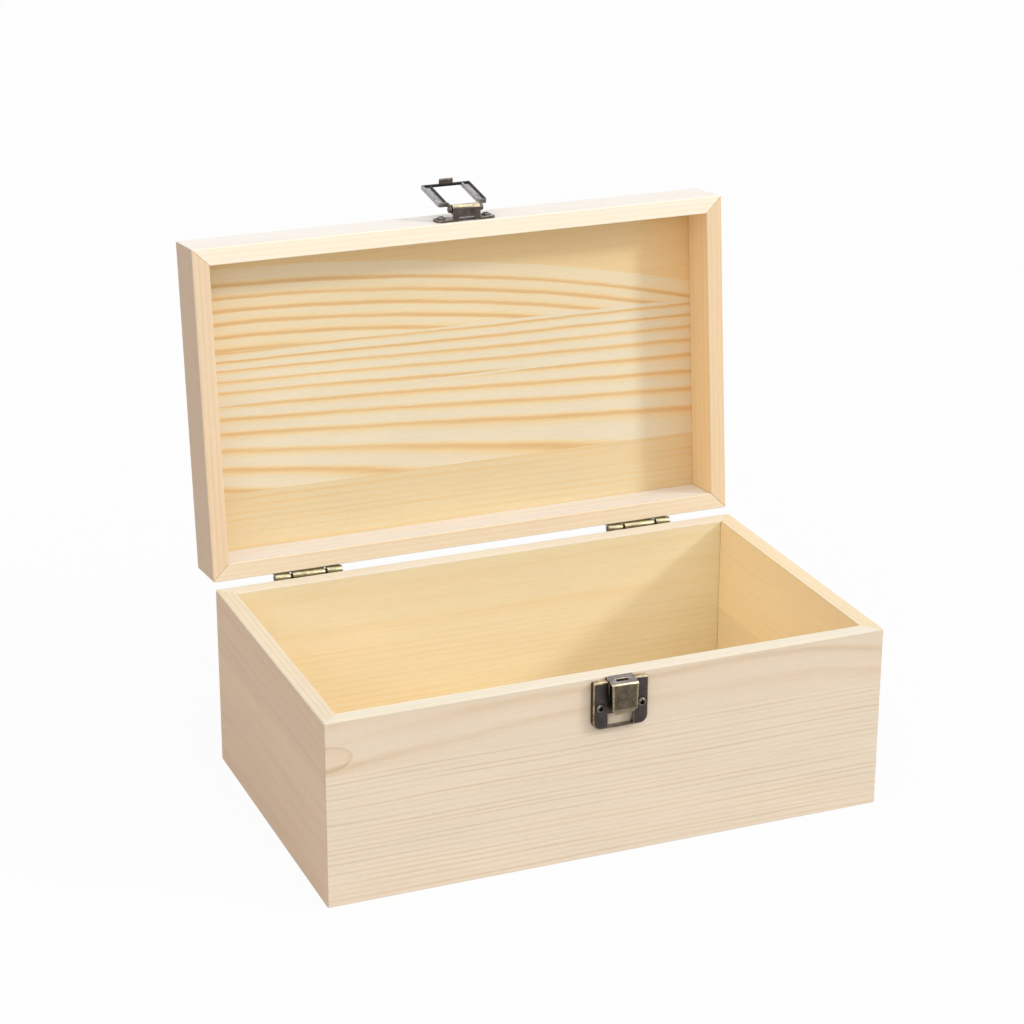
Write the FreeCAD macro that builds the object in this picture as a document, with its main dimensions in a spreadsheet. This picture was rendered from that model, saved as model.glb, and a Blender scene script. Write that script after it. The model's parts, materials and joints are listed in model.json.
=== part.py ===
import FreeCAD, Part
import os
import re

import Sketcher
from FreeCAD import Placement, Rotation, Vector

# Driving dimensions in millimetres and degrees. Heights of the latch are measured from the rim,
# where base and lid meet, and reaches from the timber face that the metal lies on.
SIZES = {
    # Timber box, outside sizes with the lid closed
    "box_width": 200.0,
    "box_depth": 118.0,
    "base_height": 65.5,
    "lid_height": 20.0,
    "wall": 6.0,
    "bottom_thickness": 4.0,
    "lid_panel_thickness": 4.0,
    "rabbet_width": 3.0,
    "panel_gap": 0.1,
    # Lid pose as photographed, held by the hinge stops
    "lid_open_angle": 95.6,
    # Butt hinges on the back, both set a little to the left
    "hinge_inset": 35.5,
    "hinge_shift": 0.8,
    "hinge_length": 25.0,
    "middle_knuckle": 12.0,
    "knuckle_gap": 0.8,
    "knuckle_wall": 0.75,
    "hinge_pin_radius": 0.8,
    "hinge_pin_fit": 0.05,
    "barrel_clearance": 0.3,
    "leaf_height": 10.0,
    "leaf_thickness": 0.9,
    "leaf_clearance": 0.5,
    "strap_gap": 0.2,
    "stop_thickness": 0.9,
    "stop_overlap": 1.0,
    "stop_gap": 0.05,
    # Countersunk screws of the hinges
    "leaf_screw_inset": 5.0,
    "leaf_screw_edge": 4.0,
    "leaf_screw_cover": 1.9,
    "flat_head_radius": 1.8,
    "flat_shank_radius": 0.9,
    "sink_floor": 0.2,
    # Round-head screws of the latch
    "round_head_radius": 1.8,
    "round_head_height": 1.0,
    "round_shank_radius": 0.9,
    "latch_screw_cover": 2.4,
    # All screws
    "screw_fit": 0.05,
    "pilot_spare": 0.3,
    "recess_width": 0.5,
    "recess_length": 2.0,
    "recess_depth": 0.4,
    # Latch, shared sizes
    "latch_shift": 1.4,
    "latch_sheet": 0.9,
    # Catch on the base, a dished plate with a bent tongue
    "catch_width": 19.8,
    "catch_height": 16.95,
    "catch_depth": 2.4,
    "catch_drop": 1.05,
    "catch_top_round": 1.0,
    "catch_bottom_round": 3.0,
    "catch_front_round": 0.7,
    "catch_rim": 1.4,
    "catch_screw_inset": 2.5,
    "catch_screw_depth": 9.05,
    "window_width": 9.2,
    "window_head": 11.6,
    "window_foot": 0.6,
    "tongue_root": 2.0,
    "tongue_clearance": 1.0,
    "tongue_taper": 0.4,
    "tongue_rise": 0.1,
    "tongue_slope": 0.9,
    "tongue_reach": 6.0,
    "tongue_curl": 2.5,
    "tongue_tip_drop": 12.3,
    "tongue_tip_inset": 1.1,
    "tongue_tip_cut": 1.8,
    "tongue_bend": 0.8,
    "slot_length": 4.3,
    "slot_width": 1.3,
    "slot_reach": 2.45,
    # Hasp on the lid, with the curl that carries the loop
    "hasp_width": 22.0,
    "hasp_height": 6.8,
    "hasp_round": 1.8,
    "hasp_screw_inset": 2.5,
    "hasp_screw_rise": 3.8,
    "pivot_height": 3.9,
    "pivot_reach": 4.2,
    "curl_wall": 1.0,
    "hood_width": 10.4,
    "arch_width": 6.0,
    "arch_height": 1.5,
    # Loop and its pin
    "loop_rest_angle": 14.1,
    "hood_clearance": 0.6,
    "loop_arm": 3.45,
    "loop_near": 2.4,
    "bar_clearance": 2.9,
    "loop_bar": 1.0,
    "loop_lift": 0.1,
    "loop_thickness": 1.5,
    "loop_skin": 0.9,
    "loop_flange": 0.7,
    "loop_round": 1.2,
    "ear_gap": 0.2,
    "ear_wall": 0.45,
    "tab_width": 5.2,
    "tab_rise": 1.9,
    "loop_pin_radius": 0.7,
    "loop_pin_fit": 0.05,
    "rivet_lip": 0.35,
    "rivet_height": 0.4,
    # Room beyond a cut, so that it leaves no skin
    "overcut": 1.0,
}

# Sizes that follow from the ones above
DERIVED = {
    "panel_inset": "wall - rabbet_width + panel_gap",
    "hinge_spacing": "box_width - 2 * hinge_inset",
    "barrel_radius": "hinge_pin_radius + hinge_pin_fit + knuckle_wall",
    "hinge_offset": "barrel_radius + barrel_clearance",
    "outer_knuckle": "(hinge_length - middle_knuckle) / 2 - knuckle_gap",
    "leaf_edge": "barrel_radius + leaf_clearance",
    "leaf_face": "leaf_thickness - hinge_offset",
    "stop_low": "leaf_edge + stop_overlap",
    "stop_high": "hinge_pin_radius + hinge_pin_fit + knuckle_wall / 3",
    "leaf_screw_spacing": "hinge_length - 2 * leaf_screw_inset",
    "leaf_screw_height": "leaf_height - leaf_screw_edge",
    "flat_head_height": "leaf_thickness - sink_floor",
    "flat_screw_length": "leaf_thickness + wall - leaf_screw_cover",
    "round_screw_grip": "wall - latch_screw_cover",
    "round_head_ball": "(round_head_radius ^ 2 + round_head_height ^ 2) / (2 * round_head_height)",
    "catch_screw_spacing": "catch_width - 2 * catch_screw_inset",
    "catch_screw_drop": "catch_drop + catch_screw_depth",
    "catch_low": "catch_drop + catch_height",
    "catch_hollow": "catch_depth - latch_sheet",
    "window_drop": "catch_drop + window_head",
    "root_drop": "catch_drop + tongue_root",
    "bend_drop": "tongue_rise + tongue_slope",
    "curl_drop": "tongue_tip_drop - tongue_curl",
    "curl_radius": "loop_pin_radius + loop_pin_fit + curl_wall",
    "hasp_foot": "pivot_height - curl_radius",
    "hasp_top": "hasp_foot + hasp_height",
    "hasp_screw_spacing": "hasp_width - 2 * hasp_screw_inset",
    "hasp_screw_height": "hasp_foot + hasp_screw_rise",
    "loop_inner": "hood_width / 2 + hood_clearance",
    "loop_outer": "loop_inner + loop_arm",
    "tongue_width": "2 * (loop_inner - tongue_clearance)",
    "loop_far": "pivot_height + tongue_tip_drop + bar_clearance",
    "loop_end": "loop_far + loop_bar",
    "loop_back": "loop_lift + loop_thickness",
    "bar_level": "loop_back - loop_skin",
    "ear_radius": "loop_pin_radius + loop_pin_fit + ear_wall",
    "ear_inner": "hood_width / 2 + ear_gap",
    "ear_outer": "ear_inner + loop_flange",
    "rivet_radius": "loop_pin_radius + rivet_lip",
}

X_AXIS = Vector(1, 0, 0)
Y_AXIS = Vector(0, 1, 0)
Z_AXIS = Vector(0, 0, 1)
TURN_TO = {
    "x": Rotation(Y_AXIS, 90),
    "y": Rotation(X_AXIS, -90),
    "z": Rotation(),
}

doc = FreeCAD.newDocument("wooden_storage_box")
sheet = doc.addObject("Spreadsheet::Sheet", "Sizes")
CELLS = {alias: str(value) for alias, value in SIZES.items()}
CELLS.update({alias: f"={text}" for alias, text in DERIVED.items()})
for row, (alias, content) in enumerate(CELLS.items(), start=1):
    sheet.set(f"A{row}", alias)
    sheet.setAlias(f"B{row}", alias)
    sheet.set(f"B{row}", content)
doc.recompute()

parts = []


# Helpers that bind sizes to the sheet
def size(alias):
    """Value of one cell, as a number."""
    return float(sheet.get(alias))


def formula(text):
    """Sheet formula from a text that uses the bare names of the sizes."""
    def cell(found):
        word = found.group()
        return f"Sizes.{word}" if word in CELLS else word
    return re.sub(r"[a-z_]+", cell, str(text))


def bind(made, **texts):
    """Bind properties of an object to formulas of the sheet."""
    for name, text in texts.items():
        made.setExpression(name, formula(text))
    return made


def seat(made, corner, turn=None):
    """Place an object by three formulas, turned first if asked."""
    made.Placement = Placement(Vector(), turn or Rotation())
    for axis, text in zip("xyz", corner):
        made.setExpression(f"Placement.Base.{axis}", formula(text))
    return made


def keep(made, label, place):
    """Name a finished sub-part and put it in its place."""
    made.Label = label
    made.Placement = place
    parts.append(made)
    return made


# Helpers that make primitives
def block(name, corner, extent):
    """Box from its low corner and its three extents."""
    made = doc.addObject("Part::Box", name)
    bind(made, Length=extent[0], Width=extent[1], Height=extent[2])
    return seat(made, corner)


def rod(name, axis, radius, length, start):
    """Cylinder along an axis from its start."""
    made = doc.addObject("Part::Cylinder", name)
    bind(made, Radius=radius, Height=length)
    return seat(made, start, TURN_TO[axis])


def fuse(name, pieces):
    """One solid from pieces that overlap."""
    made = doc.addObject("Part::MultiFuse", name)
    made.Shapes = pieces
    made.Refine = True
    return made


def cut(name, base, tools):
    """Base with the tools taken out of it."""
    made = doc.addObject("Part::Cut", name)
    made.Base = base
    made.Tool = tools[0] if len(tools) == 1 else fuse(f"{name}_tools", tools)
    return made


# Helpers that make bodies from sketches
def new_sketch(body, role, name, offset="0"):
    """Sketch on one of the body's origin planes, moved out along its normal."""
    plane = next(feature for feature in body.Origin.OriginFeatures if feature.Role == role)
    made = body.newObject("Sketcher::SketchObject", name)
    made.AttachmentSupport = [(plane, "")]
    made.MapMode = "FlatFace"
    made.setExpression("AttachmentOffset.Base.z", formula(offset))
    return made


def pin_point(made, geometry, point, place):
    """Hold a sketch point at two formulas measured from the sketch's origin."""
    for kind, text in zip(("DistanceX", "DistanceY"), place):
        index = made.addConstraint(Sketcher.Constraint(kind, -1, 1, geometry, point, 1.0))
        made.setExpression(f"Constraints[{index}]", formula(text))


def outline(made, corners):
    """Closed outline of straight lines through corners."""
    first = made.GeometryCount
    count = len(corners)
    ring = [Rotation(Z_AXIS, 360 * step / count).multVec(X_AXIS) for step in range(count)]
    for step in range(count):
        made.addGeometry(Part.LineSegment(ring[step], ring[(step + 1) % count]))
    for step in range(count):
        follower = first + (step + 1) % count
        made.addConstraint(Sketcher.Constraint("Coincident", first + step, 2, follower, 1))
    for step, place in enumerate(corners):
        pin_point(made, first + step, 1, place)
    return made


def rectangle(made, low, high):
    """Closed rectangle from its low and high corners."""
    return outline(made, [low, (high[0], low[1]), high, (low[0], high[1])])


def circle(made, centre, radius):
    """Circle from its centre and radius."""
    index = made.addGeometry(Part.Circle(Vector(), Z_AXIS, 1.0))
    pin_point(made, index, 3, centre)
    held = made.addConstraint(Sketcher.Constraint("Radius", index, 1.0))
    made.setExpression(f"Constraints[{held}]", formula(radius))
    return made


def pad(body, profile, length, both_ways=False):
    """Material added on a sketch."""
    made = body.newObject("PartDesign::Pad", f"{profile.Name}_pad")
    made.Profile = profile
    made.SideType = "Symmetric" if both_ways else "One side"
    return bind(made, Length=length)


def pocket(body, profile, length, both_ways=False):
    """Material taken away under a sketch, with proof that some went."""
    doc.recompute()
    before = body.Shape.Volume
    made = body.newObject("PartDesign::Pocket", f"{profile.Name}_pocket")
    made.Profile = profile
    made.SideType = "Symmetric" if both_ways else "One side"
    bind(made, Length=length)
    doc.recompute()
    if not body.Shape.Volume < before:
        raise RuntimeError(f"{made.Name} cuts nothing")
    return made


def round_edges(body, name, along, corners, radius):
    """Fillet on the edges along one axis that pass through the given corners."""
    doc.recompute()
    below = body.Tip
    chosen = []
    for index, edge in enumerate(below.Shape.Edges, start=1):
        middle = edge.CenterOfMass
        straight = edge.Curve.TypeId == "Part::GeomLine"
        if not straight or abs(edge.Curve.Direction.dot(along)) < 0.999:
            continue
        across = middle - along * middle.dot(along)
        if any((across - corner).Length < 0.01 for corner in corners):
            chosen.append(f"Edge{index}")
    if not chosen:
        raise RuntimeError(f"{name} finds no edge")
    made = body.newObject("PartDesign::Fillet", name)
    made.Base = (below, chosen)
    return bind(made, Radius=radius)


# Places of the bodies that move
hinge_axis = Vector(0, size("box_depth") / 2 + size("hinge_offset"), size("base_height"))
lid_swing = Placement(Vector(), Rotation(X_AXIS, -size("lid_open_angle")), hinge_axis)
front_face = Placement(
    Vector(size("latch_shift"), -size("box_depth") / 2, size("base_height")),
    Rotation(X_AXIS, 90),
)
loop_pose = front_face.multiply(
    Placement(
        Vector(0, size("pivot_height"), size("pivot_reach")),
        Rotation(X_AXIS, size("loop_rest_angle")),
    )
)
half_width = size("box_width") / 2
half_depth = size("box_depth") / 2
SIDES = {
    "front": Placement(Vector(0, -half_depth, 0), Rotation(Z_AXIS, 0)),
    "right": Placement(Vector(half_width, 0, 0), Rotation(Z_AXIS, 90)),
    "back": Placement(Vector(0, half_depth, 0), Rotation(Z_AXIS, 180)),
    "left": Placement(Vector(-half_width, 0, 0), Rotation(Z_AXIS, 270)),
}
SIDE_LENGTH = {
    "front": "box_width",
    "right": "box_depth",
    "back": "box_width",
    "left": "box_depth",
}
HINGE_SIDE = {"left": -1, "right": 1}


# Timber boards with mitred ends, a rabbet for the panel and pilot holes for the screws
def hinge_pilots(name, height):
    """Pilot holes of both hinges in a back board, drilled in from its outer face."""
    holes = []
    for hinge, way in HINGE_SIDE.items():
        for end in (-1, 1):
            # A back board's own X runs to the left
            across = f"hinge_shift + {way} * hinge_spacing / 2 + {end} * leaf_screw_spacing / 2"
            holes.append(rod(
                f"{name}_{hinge}_pilot_{end + 2}", "y",
                "flat_shank_radius + screw_fit",
                "flat_screw_length - leaf_thickness + pilot_spare",
                (across, "0", height),
            ))
    return holes


def latch_pilots(name, spacing, height):
    """Pilot holes of a latch plate in a front board."""
    return [
        rod(
            f"{name}_pilot_{end + 2}", "y",
            "round_shank_radius + screw_fit",
            "round_screw_grip + pilot_spare",
            (f"latch_shift + {end} * {spacing} / 2", "0", height),
        )
        for end in (-1, 1)
    ]


def board(label, side, height, rabbet_foot, rabbet_height, pilots, place):
    """Mitred board: long outer face at Y 0, shorter inner face one wall behind it."""
    length = SIDE_LENGTH[side]
    wedge = doc.addObject("Part::Wedge", f"{label}_blank")
    bind(
        wedge,
        Xmin=f"-{length} / 2", Xmax=f"{length} / 2",
        X2min=f"wall - {length} / 2", X2max=f"{length} / 2 - wall",
        Ymin="0", Ymax="wall",
        Zmin="0", Zmax=height, Z2min="0", Z2max=height,
    )
    rabbet = block(
        f"{label}_rabbet",
        (f"-{length} / 2", "wall - rabbet_width", rabbet_foot),
        (length, "rabbet_width", rabbet_height),
    )
    made = cut(f"{label}_solid", wedge, [rabbet] + pilots)
    keep(made, label, place.multiply(SIDES[side]))


lid_place = lid_swing.multiply(Placement(Z_AXIS * size("base_height"), Rotation()))
for side in SIDES:
    base_pilots = []
    lid_pilots = []
    if side == "back":
        base_pilots = hinge_pilots("base_back", "base_height - leaf_screw_height")
        lid_pilots = hinge_pilots("lid_back", "leaf_screw_height")
    if side == "front":
        base_pilots = latch_pilots("catch", "catch_screw_spacing", "base_height - catch_screw_drop")
        lid_pilots = latch_pilots("hasp", "hasp_screw_spacing", "hasp_screw_height")
    board(
        f"base_{side}_panel", side, "base_height",
        "0", "bottom_thickness", base_pilots, Placement(),
    )
    board(
        f"lid_{side}_rail", side, "lid_height",
        "lid_height - lid_panel_thickness", "lid_panel_thickness", lid_pilots, lid_place,
    )


# Bottom and top panels, each glued into its rabbet
def panel(label, foot, thickness, place):
    """Panel that fills the rabbet of four boards, with its underside at a height."""
    made = doc.addObject("Part::Box", f"{label}_solid")
    bind(
        made,
        Length="box_width - 2 * panel_inset",
        Width="box_depth - 2 * panel_inset",
        Height=thickness,
    )
    inset = size("panel_inset")
    corner = Vector(inset - half_width, inset - half_depth, foot)
    keep(made, label, place.multiply(Placement(corner, Rotation())))


panel("base_bottom_panel", 0, "bottom_thickness", Placement())
panel(
    "lid_top_panel", size("lid_height") - size("lid_panel_thickness"),
    "lid_panel_thickness", lid_place,
)


# Screws: axis along Z, with the seat of the head at Z 0 and the shank below
def cross_recess(name, top):
    """Two crossed slots in the top of a screw head."""
    low = f"{top} - recess_depth"
    deep = "recess_depth + overcut"
    return [
        block(
            f"{name}_slot_x", ("-recess_length / 2", "-recess_width / 2", low),
            ("recess_length", "recess_width", deep),
        ),
        block(
            f"{name}_slot_y", ("-recess_width / 2", "-recess_length / 2", low),
            ("recess_width", "recess_length", deep),
        ),
    ]


def flat_screw(name):
    """Countersunk screw whose head lies flush at Z 0."""
    head = doc.addObject("Part::Cone", f"{name}_head")
    bind(head, Radius1="flat_shank_radius", Radius2="flat_head_radius", Height="flat_head_height")
    seat(head, ("0", "0", "-flat_head_height"))
    length = "flat_screw_length - flat_head_height / 2"
    shank = rod(f"{name}_shank", "z", "flat_shank_radius", length, ("0", "0", "-flat_screw_length"))
    return cut(name, fuse(f"{name}_body", [head, shank]), cross_recess(name, "0"))


def round_screw(name, plate):
    """Screw with a domed head that stands on Z 0, and a shank through a plate into the timber."""
    head = doc.addObject("Part::Sphere", f"{name}_head")
    bind(
        head,
        Radius="round_head_ball",
        Angle1="asin(1 - round_head_height / round_head_ball)",
        Angle2="90",
        Angle3="360",
    )
    seat(head, ("0", "0", "round_head_height - round_head_ball"))
    reach = f"{plate} + round_screw_grip"
    length = f"{reach} + round_head_height / 4"
    shank = rod(f"{name}_shank", "z", "round_shank_radius", length, ("0", "0", f"-({reach})"))
    return cut(name, fuse(f"{name}_body", [head, shank]), cross_recess(name, "round_head_height"))


def screw_row(label, make, spacing, up, out, place):
    """Two like screws side by side, as one group of separate solids."""
    row = []
    for end in (-1, 1):
        screw = make(f"{label}_{end + 2}")
        row.append(seat(screw, (f"{end} * {spacing} / 2", up, out)))
    group = doc.addObject("Part::Compound", f"{label}_group")
    group.Links = row
    keep(group, label, place)


# Butt hinges. Their frame has X along the pin, Y out from the back and Z up, with the axis at 0
def leaf(label, up, knuckles, extras):
    """Leaf with its straps, knuckles and countersunk holes; up is 1 on the lid and -1 on the base."""
    plate = block(
        f"{label}_plate",
        ("-hinge_length / 2", "-hinge_offset", "leaf_edge" if up > 0 else "-leaf_height"),
        ("hinge_length", "leaf_thickness", "leaf_height - leaf_edge"),
    )
    solids = [plate] + extras
    strap_end = "leaf_edge + leaf_thickness / 2"
    for number, (start, length) in enumerate(knuckles, start=1):
        solids.append(block(
            f"{label}_strap_{number}",
            (start, "-hinge_offset", "strap_gap" if up > 0 else f"-({strap_end})"),
            (length, "leaf_thickness", f"{strap_end} - strap_gap"),
        ))
        solids.append(rod(f"{label}_knuckle_{number}", "x", "barrel_radius", length, (start, "0", "0")))
    tools = [rod(
        f"{label}_bore", "x", "hinge_pin_radius + hinge_pin_fit",
        "hinge_length + 2 * overcut", ("-hinge_length / 2 - overcut", "0", "0"),
    )]
    for end in (-1, 1):
        across = f"{end} * leaf_screw_spacing / 2"
        height = f"{up} * leaf_screw_height"
        hole_radius = "flat_shank_radius + screw_fit"
        hole = rod(
            f"{label}_hole_{end + 2}", "y", hole_radius,
            "leaf_thickness", (across, "-hinge_offset", height),
        )
        sink = doc.addObject("Part::Cone", f"{label}_sink_{end + 2}")
        sink_radius = "flat_head_radius + screw_fit"
        bind(sink, Radius1=hole_radius, Radius2=sink_radius, Height="flat_head_height")
        seat(sink, (across, "leaf_face - flat_head_height", height), TURN_TO["y"])
        tools += [hole, sink]
    return cut(f"{label}_solid", fuse(f"{label}_blank", solids), tools)


def stop_lip(label):
    """Lip of the lid leaf that meets the base leaf's outer face when the lid is open."""
    lip = doc.addObject("Part::Box", f"{label}_stop")
    bind(lip, Length="middle_knuckle", Width="stop_thickness", Height="stop_low - stop_high")
    low_corner = Vector(
        -size("middle_knuckle") / 2,
        size("leaf_face") + size("stop_gap"),
        -size("stop_low"),
    )
    closing = Placement(Vector(), Rotation(X_AXIS, size("lid_open_angle")))
    lip.Placement = closing.multiply(Placement(low_corner, Rotation()))
    return lip


outer_pair = [
    ("-hinge_length / 2", "outer_knuckle"),
    ("hinge_length / 2 - outer_knuckle", "outer_knuckle"),
]
middle_one = [("-middle_knuckle / 2", "middle_knuckle")]
# The screws' own Z points out of the back
facing_back = Placement(Vector(), Rotation(X_AXIS, -90))
for hinge, way in HINGE_SIDE.items():
    across = way * size("hinge_spacing") / 2 - size("hinge_shift")
    on_base = Placement(hinge_axis + X_AXIS * across, Rotation())
    on_lid = lid_swing.multiply(on_base)
    base_leaf = f"{hinge}_hinge_base_leaf"
    keep(leaf(base_leaf, -1, outer_pair, []), base_leaf, on_base)
    lid_leaf = f"{hinge}_hinge_lid_leaf"
    keep(leaf(lid_leaf, 1, middle_one, [stop_lip(lid_leaf)]), lid_leaf, on_lid)
    hinge_pin = doc.addObject("Part::Cylinder", f"{hinge}_pin")
    bind(hinge_pin, Radius="hinge_pin_radius", Height="hinge_length")
    pin_start = Placement(X_AXIS * (-size("hinge_length") / 2), TURN_TO["x"])
    keep(hinge_pin, f"{hinge}_hinge_pin", on_base.multiply(pin_start))
    for owner, down, place in (("base", 1, on_base), ("lid", -1, on_lid)):
        screw_row(
            f"{hinge}_hinge_{owner}_screws", flat_screw, "leaf_screw_spacing",
            f"{down} * leaf_screw_height", "leaf_face", place.multiply(facing_back),
        )


# Catch plate. Latch frames have X across, Y up from the rim and Z out from the timber face
def corner_points(half, height):
    """Points at one height on both sides of the centre line."""
    return [Vector(side * half, height, 0) for side in (-1, 1)]


def screw_holes(body, name, spacing, height, plate):
    """Clearance holes through a latch plate, cut in from its front."""
    holes = new_sketch(body, "XY_Plane", name, plate)
    for end in (-1, 1):
        circle(holes, (f"{end} * {spacing} / 2", height), "round_shank_radius + screw_fit")
    return pocket(body, holes, plate)


def latch_screws(label, spacing, height, plate, place):
    """Pair of round-head screws with their heads on the front of a latch plate."""
    screw_row(label, lambda name: round_screw(name, plate), spacing, height, plate, place)


def round_front(body, name, level, radius):
    """Fillet round the whole front face of a plate at one level."""
    doc.recompute()
    below = body.Tip
    chosen = [
        f"Edge{index}" for index, edge in enumerate(below.Shape.Edges, start=1)
        if all(abs(vertex.Z - level) < 0.001 for vertex in edge.Vertexes)
    ]
    if not chosen:
        raise RuntimeError(f"{name} finds no edge")
    made = body.newObject("PartDesign::Fillet", name)
    made.Base = (below, chosen)
    return bind(made, Radius=radius)


catch = doc.addObject("PartDesign::Body", "catch_body")
catch_face = new_sketch(catch, "XY_Plane", "catch_face")
rectangle(catch_face, ("-catch_width / 2", "-catch_low"), ("catch_width / 2", "-catch_drop"))
pad(catch, catch_face, "catch_depth")
shoulders = corner_points(size("catch_width") / 2, -size("catch_drop"))
round_edges(catch, "catch_shoulders", Z_AXIS, shoulders, "catch_top_round")
feet = corner_points(size("catch_width") / 2, -size("catch_low"))
round_edges(catch, "catch_feet", Z_AXIS, feet, "catch_bottom_round")
round_front(catch, "catch_front", size("catch_depth"), "catch_front_round")
dish = new_sketch(catch, "XY_Plane", "catch_dish", "catch_hollow")
rectangle(
    dish,
    ("catch_rim - catch_width / 2", "catch_rim - catch_low"),
    ("catch_width / 2 - catch_rim", "-catch_drop - catch_rim"),
)
pocket(catch, dish, "catch_hollow")
window = new_sketch(catch, "XY_Plane", "catch_window", "catch_depth")
rectangle(
    window,
    ("-window_width / 2", "window_foot - catch_low"),
    ("window_width / 2", "-window_drop"),
)
pocket(catch, window, "catch_depth")
screw_holes(catch, "catch_holes", "catch_screw_spacing", "-catch_screw_drop", "catch_depth")

# The tongue is one bent strip: out at the top, down in front and curled in at the tip
tongue = new_sketch(catch, "YZ_Plane", "catch_tongue")
outline(tongue, [
    ("-root_drop", "0"),
    ("-tongue_rise", "0"),
    ("-bend_drop", "tongue_reach"),
    ("-curl_drop", "tongue_reach"),
    ("-tongue_tip_drop", "tongue_reach - tongue_tip_inset"),
    ("-tongue_tip_drop", "tongue_reach - tongue_tip_inset - latch_sheet"),
    ("-curl_drop", "tongue_reach - latch_sheet"),
    ("-bend_drop - latch_sheet", "tongue_reach - latch_sheet"),
    ("-tongue_rise - latch_sheet", "latch_sheet"),
    ("-root_drop", "latch_sheet"),
])
pad(catch, tongue, "tongue_width", both_ways=True)
bends = [
    Vector(0, -size("bend_drop"), size("tongue_reach")),
    Vector(0, -size("curl_drop"), size("tongue_reach")),
]
round_edges(catch, "tongue_bends", X_AXIS, bends, "tongue_bend")
# Its sides taper towards the tip, whose corners are cut off
sides = new_sketch(catch, "XY_Plane", "tongue_sides", "tongue_reach + overcut")
for way in (-1, 1):
    outside = f"{way} * (tongue_width / 2 + overcut)"
    inner_tip = f"{way} * (tongue_width / 2 - tongue_taper - tongue_tip_cut)"
    outline(sides, [
        (outside, "-bend_drop"),
        (f"{way} * tongue_width / 2", "-bend_drop"),
        (f"{way} * (tongue_width / 2 - tongue_taper)", "tongue_tip_cut - tongue_tip_drop"),
        (inner_tip, "-tongue_tip_drop"),
        (inner_tip, "-tongue_tip_drop - overcut"),
        (outside, "-tongue_tip_drop - overcut"),
    ])
pocket(catch, sides, "overcut + tongue_reach - catch_depth - latch_sheet")
slot = new_sketch(catch, "XZ_Plane", "tongue_slot", "tongue_rise")
rectangle(slot, ("-slot_length / 2", "slot_reach"), ("slot_length / 2", "slot_reach + slot_width"))
catch.Tip = pocket(catch, slot, "2 * (tongue_slope + latch_sheet)", both_ways=True)
keep(catch, "catch_plate", front_face)
latch_screws("catch_screws", "catch_screw_spacing", "-catch_screw_drop", "catch_depth", front_face)

# Hasp plate with its front strip and the curl round the pin
hasp = doc.addObject("PartDesign::Body", "hasp_body")
hasp_face = new_sketch(hasp, "XY_Plane", "hasp_face")
rectangle(hasp_face, ("-hasp_width / 2", "hasp_foot"), ("hasp_width / 2", "hasp_top"))
pad(hasp, hasp_face, "latch_sheet")
hasp_ends = corner_points(size("hasp_width") / 2, size("hasp_foot"))
hasp_ends += corner_points(size("hasp_width") / 2, size("hasp_top"))
round_edges(hasp, "hasp_corners", Z_AXIS, hasp_ends, "hasp_round")
screw_holes(hasp, "hasp_holes", "hasp_screw_spacing", "hasp_screw_height", "latch_sheet")
strip = new_sketch(hasp, "YZ_Plane", "hasp_strip")
rectangle(strip, ("hasp_foot", "0"), ("hasp_foot + curl_wall", "pivot_reach"))
pad(hasp, strip, "hood_width", both_ways=True)
curl = new_sketch(hasp, "YZ_Plane", "hasp_curl")
circle(curl, ("pivot_height", "pivot_reach"), "curl_radius")
pad(hasp, curl, "hood_width", both_ways=True)
bore = new_sketch(hasp, "YZ_Plane", "hasp_bore")
circle(bore, ("pivot_height", "pivot_reach"), "loop_pin_radius + loop_pin_fit")
pocket(hasp, bore, "hood_width + overcut", both_ways=True)
arch = new_sketch(hasp, "XZ_Plane", "hasp_arch", "-hasp_foot")
rectangle(arch, ("-arch_width / 2", "0"), ("arch_width / 2", "arch_height"))
hasp.Tip = pocket(hasp, arch, "2 * curl_wall", both_ways=True)
keep(hasp, "hasp_plate", lid_swing.multiply(front_face))
latch_screws(
    "hasp_screws", "hasp_screw_spacing", "hasp_screw_height", "latch_sheet",
    lid_swing.multiply(front_face),
)

# Loop: two pressed arms, hollow at the back, joined by a thin bar and carried on two ears.
# Y runs from the pivot to the bar
loop = doc.addObject("PartDesign::Body", "loop_body")
bar = new_sketch(loop, "XY_Plane", "loop_bar_face", "bar_level")
rectangle(bar, ("-loop_outer", "loop_far"), ("loop_outer", "loop_end"))
pad(loop, bar, "loop_skin")
arms = new_sketch(loop, "XY_Plane", "loop_arms", "loop_lift")
for way in (-1, 1):
    rectangle(arms, (f"{way} * loop_inner", "loop_near"), (f"{way} * loop_outer", "loop_end"))
pad(loop, arms, "loop_thickness")
loop_corners = corner_points(size("loop_outer"), size("loop_near"))
round_edges(loop, "loop_corners", Z_AXIS, loop_corners, "loop_round")
hollow = new_sketch(loop, "XY_Plane", "loop_hollow", "loop_back")
for way in (-1, 1):
    rectangle(
        hollow,
        (f"{way} * (loop_inner + loop_flange)", "loop_near + loop_flange"),
        (f"{way} * (loop_outer - loop_flange)", "loop_end - loop_flange"),
    )
pocket(loop, hollow, "loop_thickness - loop_skin")
tab = new_sketch(loop, "XY_Plane", "loop_tab", "bar_level")
rectangle(tab, ("-tab_width / 2", "loop_end - loop_flange"), ("tab_width / 2", "loop_end"))
pad(loop, tab, "loop_skin + tab_rise")

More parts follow.
